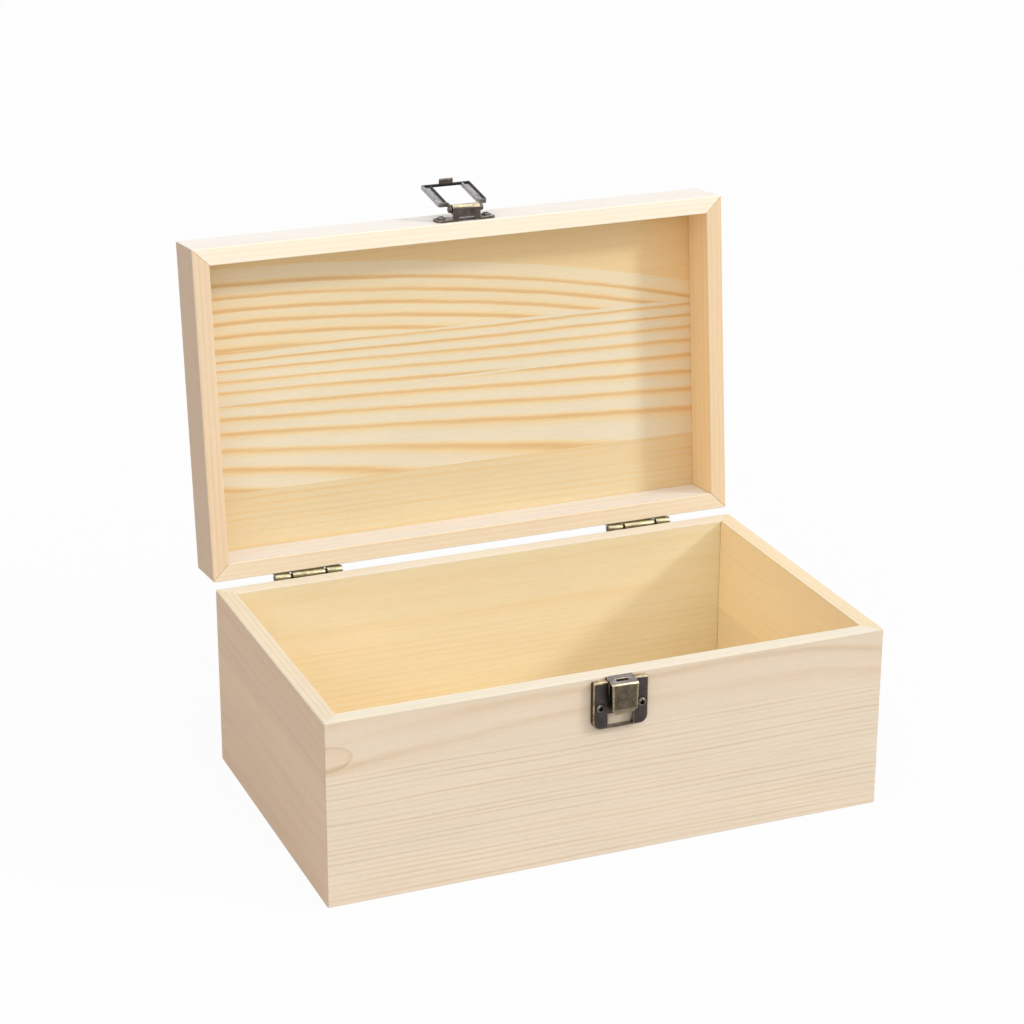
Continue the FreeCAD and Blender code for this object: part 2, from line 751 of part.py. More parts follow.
# Each ear reaches back to the pin, close beside the hood
for ear, start in (("right", "ear_inner"), ("left", "-ear_outer")):
    disc = new_sketch(loop, "YZ_Plane", f"{ear}_ear_disc", start)
    circle(disc, ("0", "0"), "ear_radius")
    pad(loop, disc, "loop_flange")
    link = new_sketch(loop, "YZ_Plane", f"{ear}_ear_link", start)
    rectangle(link, ("0", "loop_lift"), ("loop_near + loop_flange", "loop_back"))
    pad(loop, link, "loop_flange")
pin_hole = new_sketch(loop, "YZ_Plane", "ear_holes")
circle(pin_hole, ("0", "0"), "loop_pin_radius + loop_pin_fit")
loop.Tip = pocket(loop, pin_hole, "2 * (ear_outer + overcut)", both_ways=True)
keep(loop, "hasp_loop", lid_swing.multiply(loop_pose))

# Pin of the loop, riveted over outside both ears
pin_end = "ear_outer + rivet_height"
pivot_rod = rod("pivot_rod", "x", "loop_pin_radius", f"2 * ({pin_end})", (f"-({pin_end})", "0", "0"))
right_rivet = rod("right_rivet", "x", "rivet_radius", "rivet_height", ("ear_outer", "0", "0"))
left_rivet = rod("left_rivet", "x", "rivet_radius", "rivet_height", (f"-({pin_end})", "0", "0"))
pivot_pin = fuse("pivot_pin", [pivot_rod, right_rivet, left_rivet])
keep(pivot_pin, "hasp_pivot_pin", lid_swing.multiply(loop_pose))

# Check every object, then write one file for each sub-part
doc.recompute()
for made in doc.Objects:
    if "Invalid" in made.State or "Error" in made.State:
        raise RuntimeError(f"{made.Name} failed: {made.State}")
for made in parts:
    shape = made.Shape
    if shape.isNull() or not shape.isValid() or not shape.Solids:
        raise RuntimeError(f"{made.Label} is not a valid solid")
os.makedirs("parts", exist_ok=True)
for made in parts:
    made.Shape.exportStep(os.path.join("parts", f"{made.Label}.step"))
    box = made.Shape.BoundBox
    print(
        f"{made.Label}: {len(made.Shape.Solids)} solid, {made.Shape.Volume:.1f} mm3, "
        f"x {box.XMin:.2f} to {box.XMax:.2f}, y {box.YMin:.2f} to {box.YMax:.2f}, "
        f"z {box.ZMin:.2f} to {box.ZMax:.2f}"
    )
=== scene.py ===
import json
import logging
import math
from dataclasses import dataclass
from enum import Enum
from typing import Any, ClassVar, Sequence, Union

import bpy
from mathutils import Euler, Matrix, Vector

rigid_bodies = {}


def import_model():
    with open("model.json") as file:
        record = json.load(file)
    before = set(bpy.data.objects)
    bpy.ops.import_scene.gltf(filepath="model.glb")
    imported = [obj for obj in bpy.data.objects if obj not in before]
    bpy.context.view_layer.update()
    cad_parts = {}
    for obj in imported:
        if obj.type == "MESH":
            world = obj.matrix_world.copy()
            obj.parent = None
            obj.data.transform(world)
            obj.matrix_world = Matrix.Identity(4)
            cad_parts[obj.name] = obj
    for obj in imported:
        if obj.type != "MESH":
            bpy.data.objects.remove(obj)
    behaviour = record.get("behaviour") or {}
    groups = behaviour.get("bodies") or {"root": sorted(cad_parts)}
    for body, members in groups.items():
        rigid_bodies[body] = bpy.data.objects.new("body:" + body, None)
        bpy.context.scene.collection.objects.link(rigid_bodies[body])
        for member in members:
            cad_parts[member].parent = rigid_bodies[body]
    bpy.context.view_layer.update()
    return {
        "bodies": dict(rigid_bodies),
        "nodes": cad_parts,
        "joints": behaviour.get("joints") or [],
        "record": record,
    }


LOG = logging.getLogger("pine_box")
MM = 0.001
PICTURE_WIDTH = 1024
WELD_REACH = 0.002
FLAT_ANGLE = 0.5
SHARP_ANGLE = 40.0
EDGE_FACES = 2

Colour = tuple[float, float, float]
Place = tuple[float, float, float]
Bound = tuple["Measure", float, float]
Feed = Union[float, Colour, Vector, bpy.types.NodeSocket]

UNTINTED: Colour = (1.0, 1.0, 1.0)
RIGHT: Place = (1.0, 0.0, 0.0)
BACK: Place = (0.0, 1.0, 0.0)
FRONT: Place = (0.0, -1.0, 0.0)
UP: Place = (0.0, 0.0, 1.0)


class Outward(Enum):
    """Way across a stave in which the tree grew, from the pale wood to the sharp dark edge."""

    UP = 1.0
    DOWN = -1.0


class ShaderGraph:
    """Nodes of one material or node group, added and joined by short calls."""

    def __init__(self, tree: bpy.types.NodeTree) -> None:
        """Start on an existing node tree."""
        self.tree = tree

    def add(self, kind: str, **settings: Any) -> bpy.types.Node:
        """Add a node and set its plain properties.

        Args:
            kind: Blender's name of the node type.
            settings: Properties of the node by name.

        Returns:
            The new node.
        """
        node = self.tree.nodes.new(kind)
        for name, value in settings.items():
            setattr(node, name, value)
        return node

    def feed(self, socket: bpy.types.NodeSocket, value: Feed) -> None:
        """Link a socket to another one, or set it to a fixed value.

        Args:
            socket: The input to fill.
            value: A number, a colour or vector, or the output to link.
        """
        if isinstance(value, bpy.types.NodeSocket):
            self.tree.links.new(value, socket)
        elif socket.type == "RGBA":
            socket.default_value = (*value, 1.0)
        else:
            socket.default_value = value

    def math(self, operation: str, *values: Feed, clamp: bool = False) -> bpy.types.NodeSocket:
        """Result of a Math node.

        Args:
            operation: Blender's name of the operation.
            values: One to three numbers or outputs.
            clamp: Keep the result within 0 and 1.

        Returns:
            The node's output.
        """
        node = self.add("ShaderNodeMath", operation=operation, use_clamp=clamp)
        for socket, value in zip(node.inputs, values):
            self.feed(socket, value)
        return node.outputs[0]

    def scaled(self, vector: Feed, scale: Sequence[float]) -> bpy.types.NodeSocket:
        """Vector multiplied by a different factor on each axis.

        Args:
            vector: The vector's output.
            scale: Factors along the three axes.

        Returns:
            The scaled vector.
        """
        node = self.add("ShaderNodeVectorMath", operation="MULTIPLY")
        self.feed(node.inputs[0], vector)
        node.inputs[1].default_value = scale
        return node.outputs[0]

    def noise(self, vector: Feed, detail: float = 2.0, roughness: float = 0.5) -> bpy.types.NodeSocket:
        """Smooth noise about zero, within about one half each way.

        Args:
            vector: Coordinates already scaled to the noise's own unit.
            detail: Octaves of finer noise.
            roughness: Share of the finer octaves.

        Returns:
            The centred noise.
        """
        node = self.add("ShaderNodeTexNoise")
        self.feed(node.inputs["Vector"], vector)
        node.inputs["Scale"].default_value = 1.0
        node.inputs["Detail"].default_value = detail
        node.inputs["Roughness"].default_value = roughness
        return self.math("SUBTRACT", node.outputs["Fac"], 0.5)

    def step(self, value: Feed, start: float, full: float) -> bpy.types.NodeSocket:
        """Smooth step from 0 at the start to 1 at the full value, either way round.

        Args:
            value: Number to compare.
            start: Value that gives 0.
            full: Value that gives 1.

        Returns:
            The step's output.
        """
        node = self.add("ShaderNodeMapRange", interpolation_type="SMOOTHSTEP")
        self.feed(node.inputs["Value"], value)
        node.inputs["From Min"].default_value = min(start, full)
        node.inputs["From Max"].default_value = max(start, full)
        node.inputs["To Min"].default_value = 0.0 if start < full else 1.0
        node.inputs["To Max"].default_value = 1.0 if start < full else 0.0
        return node.outputs["Result"]

    def ramp(
        self, value: Feed, stops: Sequence[tuple[float, float]], smooth: bool = True
    ) -> bpy.types.NodeSocket:
        """Grey value read from a ramp.

        Args:
            value: Position along the ramp.
            stops: Positions and their grey values.
            smooth: Ease between the stops instead of straight lines.

        Returns:
            The ramp's colour output, which is grey.
        """
        node = self.add("ShaderNodeValToRGB")
        node.color_ramp.interpolation = "EASE" if smooth else "LINEAR"
        elements = node.color_ramp.elements
        while len(elements) < len(stops):
            elements.new(0.5)
        for element, (position, grey) in zip(elements, stops):
            element.position = position
            element.color = (grey, grey, grey, 1.0)
        self.feed(node.inputs["Fac"], value)
        return node.outputs["Color"]

    def mix(self, factor: Feed, first: Feed, second: Feed, blend: str = "MIX") -> bpy.types.NodeSocket:
        """Colour mixed from two others.

        Args:
            factor: Share of the second colour.
            first: First colour.
            second: Second colour.
            blend: Blender's name of the blend mode.

        Returns:
            The mixed colour.
        """
        node = self.add("ShaderNodeMix", data_type="RGBA", blend_type=blend)
        self.feed(node.inputs[0], factor)
        self.feed(node.inputs[6], first)
        self.feed(node.inputs[7], second)
        return node.outputs[2]

    def dimmed(self, colour: Feed, factor: Feed) -> bpy.types.NodeSocket:
        """Colour multiplied by one number.

        Args:
            colour: The colour.
            factor: Number to multiply it by.

        Returns:
            The multiplied colour.
        """
        node = self.add("ShaderNodeVectorMath", operation="SCALE")
        self.feed(node.inputs[0], colour)
        self.feed(node.inputs["Scale"], factor)
        return node.outputs[0]

    def bump(self, shader: bpy.types.Node, height: Feed, strength: float, distance: float) -> None:
        """Give a shader a bumped surface.

        Args:
            shader: The shader node.
            height: Height of the surface.
            strength: Strength of the bump.
            distance: Depth of the bump in millimetres.
        """
        node = self.add("ShaderNodeBump")
        node.inputs["Strength"].default_value = strength
        node.inputs["Distance"].default_value = distance * MM
        self.feed(node.inputs["Height"], height)
        self.feed(shader.inputs["Normal"], node.outputs[0])

    def blend_value(self, factor: Feed, first: Feed, second: Feed) -> bpy.types.NodeSocket:
        """Number mixed from two others, as the share of the second.

        Args:
            factor: Share of the second number.
            first: First number.
            second: Second number.

        Returns:
            The mixed number.
        """
        node = self.add("ShaderNodeMix", data_type="FLOAT")
        self.feed(node.inputs[0], factor)
        self.feed(node.inputs[2], first)
        self.feed(node.inputs[3], second)
        return node.outputs[0]


def new_material(name: str) -> tuple[bpy.types.Material, ShaderGraph, bpy.types.Node]:
    """Material with a bare Principled shader.

    Args:
        name: Name of the material.

    Returns:
        The material, its graph and its Principled node.
    """
    material = bpy.data.materials.new(name)
    material.use_nodes = True
    graph = ShaderGraph(material.node_tree)
    shader = next(node for node in material.node_tree.nodes if node.type == "BSDF_PRINCIPLED")
    return material, graph, shader


@dataclass(frozen=True)
class Stave:
    """One strip of an edge-glued board, with the run of its growth rings.

    Sizes are in millimetres. Along is measured with the grain and across from the board's own zero. The eye
    is an oval, given by its place along, its place across and its size.
    """

    top: float
    ring_width: float
    seed: float = 0.0
    widening: float = 0.0
    slope: float = 0.0
    fan: float = 0.0
    slope_from: float = 0.0
    bow: float = 0.0
    bow_from: float = 0.0
    through: float = 0.6
    wave: float = 1.6
    ripple: float = 0.35
    late: float = 1.0
    shade: float = 1.0
    outward: Outward = Outward.UP
    first_ring: float = 0.0
    droop: float = 0.0
    droop_from: float = -1000.0
    heart: float = 0.0
    heart_from: float = 1000.0
    fading: float = 0.5
    uneven: float = 0.3
    ground: float = 0.0
    eye: Place = (-5000.0, 0.0, 1.0)

    def inputs(self) -> dict[str, float]:
        """Values for the sockets of the stave node group."""
        return {
            "Top": self.top - self.first_ring,
            "Ring width": self.ring_width,
            "Seed": self.seed,
            "Widening": max(self.widening, 0.001),
            "Slope": self.slope,
            "Fan": self.fan,
            "Slope from": self.slope_from,
            "Bow": self.bow,
            "Bow from": self.bow_from,
            "Through": self.through,
            "Wave": self.wave,
            "Ripple": self.ripple,
            "Late": self.late,
            "Outward": self.outward.value,
            "Droop": self.droop,
            "Droop from": self.droop_from,
            "Heart": self.heart,
            "Heart from": self.heart_from,
            "Fading": self.fading,
            "Uneven": self.uneven,
            "Ground": self.ground,
            "Eye along": self.eye[0],
            "Eye across": self.eye[1],
            "Eye size": self.eye[2],
        }


class StaveNodes:
    """Node group that turns board coordinates into the dark share of each growth ring."""

    NAME = "pine_stave"
    RING_PROFILE = (
        (0.0, 0.03), (0.05, 0.0), (0.26, 0.0), (0.42, 0.10), (0.56, 0.36),
        (0.68, 0.78), (0.77, 1.0), (0.85, 0.82), (0.92, 0.42), (1.0, 0.03),
    )
    SEED_STEP = (311.0, 47.0)
    SLOW_WAVE = (0.011, 0.035, 0.035)
    QUICK_WAVE = (0.055, 0.13, 0.13)
    LAYERS = (0.004, 0.22, 0.22)
    YEAR_STEP = (0.012, 3.7)
    HEART_MARGIN = 3.5
    EYE_FLATNESS = 0.48
    EYE_PROFILE = ((0.0, 0.22), (0.75, 0.28), (0.92, 0.5), (1.0, 0.0))

    @classmethod
    def group(cls) -> bpy.types.NodeTree:
        """The group, built on its first use.

        Returns:
            The node group.
        """
        known = bpy.data.node_groups.get(cls.NAME)
        return known or cls._build()

    @staticmethod
    def add_to(graph: ShaderGraph, place: Feed, stave: Stave) -> bpy.types.NodeSocket:
        """Add the group for one stave.

        Args:
            graph: Graph of the board's material.
            place: Board coordinates in millimetres.
            stave: The stave.

        Returns:
            The dark share of its rings.
        """
        node = graph.add("ShaderNodeGroup", node_tree=StaveNodes.group())
        graph.feed(node.inputs["Place"], place)
        for socket, value in stave.inputs().items():
            node.inputs[socket].default_value = value
        return node.outputs[0]

    @classmethod
    def _build(cls) -> bpy.types.NodeTree:
        """Build the group.

        Returns:
            The new node group.
        """
        tree = bpy.data.node_groups.new(cls.NAME, "ShaderNodeTree")
        tree.interface.new_socket("Place", in_out="INPUT", socket_type="NodeSocketVector")
        for name in Stave(0.0, 1.0).inputs():
            tree.interface.new_socket(name, in_out="INPUT", socket_type="NodeSocketFloat")
        tree.interface.new_socket("Late share", in_out="OUTPUT", socket_type="NodeSocketFloat")
        graph = ShaderGraph(tree)
        given = graph.add("NodeGroupInput").outputs
        place = graph.add("ShaderNodeSeparateXYZ")
        graph.feed(place.inputs[0], given["Place"])
        along, across, deep = place.outputs
        drifted = graph.add("ShaderNodeVectorMath", operation="ADD")
        graph.feed(drifted.inputs[0], given["Place"])
        offset = graph.add("ShaderNodeCombineXYZ")
        graph.feed(offset.inputs[0], graph.math("MULTIPLY", given["Seed"], cls.SEED_STEP[0]))
        graph.feed(offset.inputs[1], graph.math("MULTIPLY", given["Seed"], cls.SEED_STEP[1]))
        graph.feed(drifted.inputs[1], offset.outputs[0])
        slow = graph.noise(graph.scaled(drifted.outputs[0], cls.SLOW_WAVE), 1.0)
        quick = graph.noise(graph.scaled(drifted.outputs[0], cls.QUICK_WAVE), 2.0)
        layers = graph.noise(graph.scaled(drifted.outputs[0], cls.LAYERS), 1.0)
        # Height on the stave after its waves, its fan of slopes and its bow
        level = graph.math("MULTIPLY_ADD", slow, graph.math("MULTIPLY", given["Wave"], 2.0), across)
        level = graph.math("MULTIPLY_ADD", quick, graph.math("MULTIPLY", given["Ripple"], 2.0), level)
        level = graph.math("MULTIPLY_ADD", layers, graph.math("MULTIPLY", given["Uneven"], 2.0), level)
        level = graph.math("MULTIPLY_ADD", deep, given["Through"], level)
        run = graph.math("SUBTRACT", along, given["Bow from"])
        level = graph.math("MULTIPLY_ADD", graph.math("MULTIPLY", run, run), given["Bow"], level)
        # Rings that slope more the lower they start, and below one ring bend away ever faster
        gone = graph.math("SUBTRACT", along, given["Slope from"])
        lean = graph.math("MULTIPLY_ADD", given["Top"], given["Fan"], given["Slope"])
        level = graph.math("MULTIPLY_ADD", lean, gone, level)
        opened = graph.math("MULTIPLY_ADD", given["Fan"], gone, 1.0)
        level = graph.math("DIVIDE", level, opened)
        bent = graph.math("MULTIPLY_ADD", graph.math("MULTIPLY", gone, gone), given["Droop"], opened)
        sunk = graph.math("MINIMUM", graph.math("SUBTRACT", level, given["Droop from"]), 0.0)
        raised = graph.math("MULTIPLY", sunk, graph.math("SUBTRACT", 1.0, graph.math("DIVIDE", opened, bent)))
        level = graph.math("SUBTRACT", level, raised)
        # Rings counted down from the top, wider ones further down
        rings = graph.math("DIVIDE", graph.math("SUBTRACT", given["Top"], level), given["Ring width"])
        grown = graph.math("MAXIMUM", graph.math("MULTIPLY_ADD", rings, given["Widening"], 1.0), 0.02)
        count = graph.math("DIVIDE", graph.math("LOGARITHM", grown, math.e), given["Widening"])
        turned = graph.math("MULTIPLY", count, graph.math("MULTIPLY", given["Outward"], -1.0))
        part = graph.math("FRACT", turned)
        profile = graph.ramp(part, cls.RING_PROFILE, smooth=False)
        # Each year's line comes and goes along the board
        year = graph.add("ShaderNodeCombineXYZ")
        graph.feed(year.inputs[0], graph.math("MULTIPLY", along, cls.YEAR_STEP[0]))
        graph.feed(year.inputs[1], graph.math("MULTIPLY", graph.math("FLOOR", turned), cls.YEAR_STEP[1]))
        graph.feed(year.inputs[2], given["Seed"])
        fading = graph.math("MULTIPLY", given["Fading"], 3.0)
        faded = graph.math("MULTIPLY", graph.noise(year.outputs[0], 1.0), fading)
        weight = graph.math("ADD", faded, graph.math("MULTIPLY_ADD", given["Fading"], -0.25, 1.0), clamp=True)
        share = graph.math("MULTIPLY", graph.math("MULTIPLY", profile, weight), given["Late"])
        # Plain wood of the oldest part, beyond the last ring
        beyond = graph.math("SUBTRACT", level, given["Heart from"])
        kept = graph.math("SUBTRACT", -cls.HEART_MARGIN, beyond, clamp=True)
        share = graph.math("MULTIPLY_ADD", share, kept, given["Ground"])
        inner = graph.math("MULTIPLY", beyond, 2.0, clamp=True)
        share = graph.math("MULTIPLY_ADD", inner, given["Heart"], share)
        # Oval where the saw grazed a swelling
        length = given["Eye size"]
        height = graph.math("MULTIPLY", length, cls.EYE_FLATNESS)
        side = graph.math("DIVIDE", graph.math("SUBTRACT", along, given["Eye along"]), length)
        rise = graph.math("DIVIDE", graph.math("SUBTRACT", across, given["Eye across"]), height)
        reach = graph.math("SQRT", graph.math("MULTIPLY_ADD", side, side, graph.math("MULTIPLY", rise, rise)))
        oval = graph.ramp(reach, cls.EYE_PROFILE, smooth=False)
        share = graph.math("ADD", share, oval, clamp=True)
        result = graph.add("NodeGroupOutput")
        graph.feed(result.inputs[0], share)
        return tree


@dataclass(frozen=True)
class BoardFrame:
    """Where a board lies: its grain direction, its direction across and its own zero, in millimetres."""

    along: Place
    across: Place
    zero: Place
    on_lid: bool = False

    def matrix(self, closing: Matrix) -> Matrix:
        """Transform from the rest pose to the board's own coordinates.

        Args:
            closing: Transform of the lid from its open rest pose to the closed box, in millimetres.

        Returns:
            The transform, in millimetres.
        """
        along = Vector(self.along)
        across = Vector(self.across)
        rows = Matrix((along, across, along.cross(across)))
        turned = rows.to_4x4() @ Matrix.Translation(-Vector(self.zero))
        return turned @ closing if self.on_lid else turned


@dataclass(frozen=True)
class PineFinish:
    """Bare planed pine.

    Early, middle and late are the colours from the pale to the dark wood of a ring. The inner tint is painted
    light: it mostly lightens the inner face, standing in for light bounced inside the box. The tint on the
    planed edge where the box opens makes it paler, partly as planed wood and partly as painted light on the
    lit rim. The far-end tint is painted shade: a warmer, darker far end where a shadow falls.
    """

    early: Colour
    middle: Colour
    late: Colour
    # Painted light: tint that lightens the inner face, for light bounced inside the box
    inner: Colour = UNTINTED
    # Partly painted light: paler tint of the planed edge where the box opens, standing in for the lit rim
    planed: Colour = UNTINTED
    roughness: float = 0.62
    specular: float = 0.3
    seam_shade: float = 0.985
    seam_width: float = 0.3
    inner_depth: float = 5.4
    rim_reach: float = 0.4
    rim_rings: Stave = Stave(65.5, 1.9, 31.0, through=1.0, wave=0.4, ripple=0.1, late=0.5)
    blush: Colour = (1.0, 0.968, 0.94)
    # Painted shade: tint of the board's far end, warmer and darker where a shadow falls
    far_end_painted_shade: Colour = UNTINTED
    painted_shade_from: float = 66.0
    painted_shade_fade: float = 18.0

    FIBRE: ClassVar[Place] = (0.035, 2.6, 2.6)
    FUZZ: ClassVar[Place] = (0.3, 1.7, 1.7)
    CLOUD: ClassVar[Place] = (0.018, 0.07, 0.07)
    STREAK: ClassVar[Place] = (0.02, 0.9, 0.9)
    FLECK: ClassVar[Place] = (0.3, 3.2, 3.2)
    PINK: ClassVar[Place] = (0.009, 0.11, 0.11)
    FLECK_STOPS: ClassVar[tuple[tuple[float, float], ...]] = ((0.20, 0.0), (0.30, 1.0))

    def material(
        self, name: str, matrix: Matrix, staves: Sequence[Stave], rim: float
    ) -> bpy.types.Material:
        """Wood of one board, glued from staves listed from the top down.

        Args:
            name: Name of the material.
            matrix: Transform from the rest pose to the board, in millimetres.
            staves: Staves from the top down.
            rim: Place across the board of its planed edge, where the box opens.

        Returns:
            The material.
        """
        material, graph, shader = new_material(name)
        place = self._place(graph, matrix)
        split = graph.add("ShaderNodeSeparateXYZ")
        graph.feed(split.inputs[0], place)
        along, across, deep = split.outputs
        inside = graph.math("GREATER_THAN", graph.math("ABSOLUTE", deep), self.inner_depth)
        edge = graph.math("COMPARE", across, rim, self.rim_reach)
        late, shade = self._rings(graph, place, across, staves)
        late = graph.blend_value(edge, late, StaveNodes.add_to(graph, place, self.rim_rings))
        fibre = graph.noise(graph.scaled(place, self.FIBRE), 3.0, 0.65)
        fuzz = graph.noise(graph.scaled(place, self.FUZZ), 2.0, 0.6)
        # Painted light on the inner faces, and in part on the planed edge
        tint = graph.mix(edge, graph.mix(inside, UNTINTED, self.inner), self.planed)
        colour = graph.mix(1.0, self._colour(graph, place, along, late), tint, "MULTIPLY")
        bright = self._brightness(graph, place, shade, fibre, fuzz)
        graph.feed(shader.inputs["Base Color"], graph.dimmed(colour, bright))
        rough = graph.math("MULTIPLY_ADD", late, -0.10, self.roughness)
        graph.feed(shader.inputs["Roughness"], graph.math("MULTIPLY_ADD", fibre, 0.15, rough))
        shader.inputs["Specular IOR Level"].default_value = self.specular
        height = graph.math("MULTIPLY_ADD", late, 0.4, graph.math("ADD", fibre, fuzz))
        graph.bump(shader, height, strength=0.25, distance=0.15)
        return material

    def _rings(
        self, graph: ShaderGraph, place: Feed, across: Feed, staves: Sequence[Stave]
    ) -> tuple[Feed, Feed]:
        """Growth rings of all the staves of a board.

        Args:
            graph: Graph of the material.
            place: Board coordinates in millimetres.
            across: Place across the board.
            staves: Staves from the top down.

        Returns:
            The dark share of the rings, and the brightness of the staves with their seams.
        """
        late: Feed = StaveNodes.add_to(graph, place, staves[0])
        shade: Feed = staves[0].shade
        seam: Feed = 0.0
        for stave in staves[1:]:
            rings = StaveNodes.add_to(graph, place, stave)
            under = graph.step(across, stave.top + self.seam_width, stave.top - self.seam_width)
            late = graph.blend_value(under, late, rings)
            shade = graph.blend_value(under, shade, stave.shade)
            near = graph.math("COMPARE", across, stave.top, self.seam_width / 2)
            seam = graph.math("MAXIMUM", seam, near)
        return late, graph.math("MULTIPLY_ADD", seam, self.seam_shade - 1.0, shade)

    def _colour(self, graph: ShaderGraph, place: Feed, along: Feed, late: Feed) -> bpy.types.NodeSocket:
        """Colour of the wood before its tints and its brightness.

        Args:
            graph: Graph of the material.
            place: Board coordinates in millimetres.
            along: Place along the board.
            late: Dark share of the rings.

        Returns:
            The colour.
        """
        streak = graph.noise(graph.scaled(place, self.STREAK), 2.0)
        share = graph.math("MULTIPLY", graph.math("MULTIPLY_ADD", streak, 0.25, late), 2.0)
        colour = graph.mix(graph.math("MINIMUM", share, 1.0, clamp=True), self.early, self.middle)
        colour = graph.mix(graph.math("SUBTRACT", share, 1.0, clamp=True), colour, self.late)
        pink = graph.noise(graph.scaled(place, self.PINK), 2.0)
        blush = graph.mix(graph.math("MULTIPLY_ADD", pink, 2.5, 0.3, clamp=True), UNTINTED, self.blush)
        colour = graph.mix(1.0, colour, blush, "MULTIPLY")
        # Painted shade: the far end of the board turns warmer and darker where a shadow falls
        in_painted_shade = graph.step(along, self.painted_shade_from, self.painted_shade_from + self.painted_shade_fade)
        return graph.mix(in_painted_shade, colour, graph.mix(1.0, colour, self.far_end_painted_shade, "MULTIPLY"))

    def _brightness(
        self, graph: ShaderGraph, place: Feed, shade: Feed, fibre: Feed, fuzz: Feed
    ) -> bpy.types.NodeSocket:
        """Brightness of the wood with its fibres, clouds and flecks.

        Args:
            graph: Graph of the material.
            place: Board coordinates in millimetres.
            shade: Brightness of the staves.
            fibre: Noise of the long fibres.
            fuzz: Noise of the short fibres.

        Returns:
            The brightness.
        """
        cloud = graph.noise(graph.scaled(place, self.CLOUD), 2.0)
        fleck = graph.ramp(graph.noise(graph.scaled(place, self.FLECK), 1.0), self.FLECK_STOPS)
        bright = graph.math("MULTIPLY_ADD", fibre, 0.13, shade)
        bright = graph.math("MULTIPLY_ADD", fuzz, 0.10, bright)
        bright = graph.math("MULTIPLY_ADD", cloud, 0.10, bright)
        return graph.math("MULTIPLY_ADD", fleck, -0.06, bright)

    @staticmethod
    def _place(graph: ShaderGraph, matrix: Matrix) -> bpy.types.NodeSocket:
        """Board coordinates in millimetres.

        Args:
            graph: Graph of the material.
            matrix: Transform from the rest pose to the board, in millimetres.

        Returns:
            The coordinates' output.
        """
        coordinates = graph.add("ShaderNodeTexCoord")
        mapping = graph.add("ShaderNodeMapping", vector_type="POINT")
        graph.feed(mapping.inputs["Vector"], coordinates.outputs["Object"])
        mapping.inputs["Location"].default_value = matrix.to_translation()
        mapping.inputs["Rotation"].default_value = matrix.to_euler()
        mapping.inputs["Scale"].default_value = (1.0 / MM, 1.0 / MM, 1.0 / MM)
        return mapping.outputs[0]


class Measure(Enum):
    """What a metal zone is bounded by: places in millimetres, or how far a face looks one way."""

    DEPTH = "depth"
    HEIGHT = "height"
    SPREAD = "spread"
    FLANK = "flank"
    SCREW = "screw"
    LOOKS_UP = "looks_up"
    LOOKS_LEFT = "looks_left"
    EDGE = "edge"


@dataclass(frozen=True)
class Zone:
    """Part of a metal piece with a tone of its own, within soft bounds of some measures."""

    tone: Colour
    bounds: tuple[Bound, ...]
    share: float = 1.0


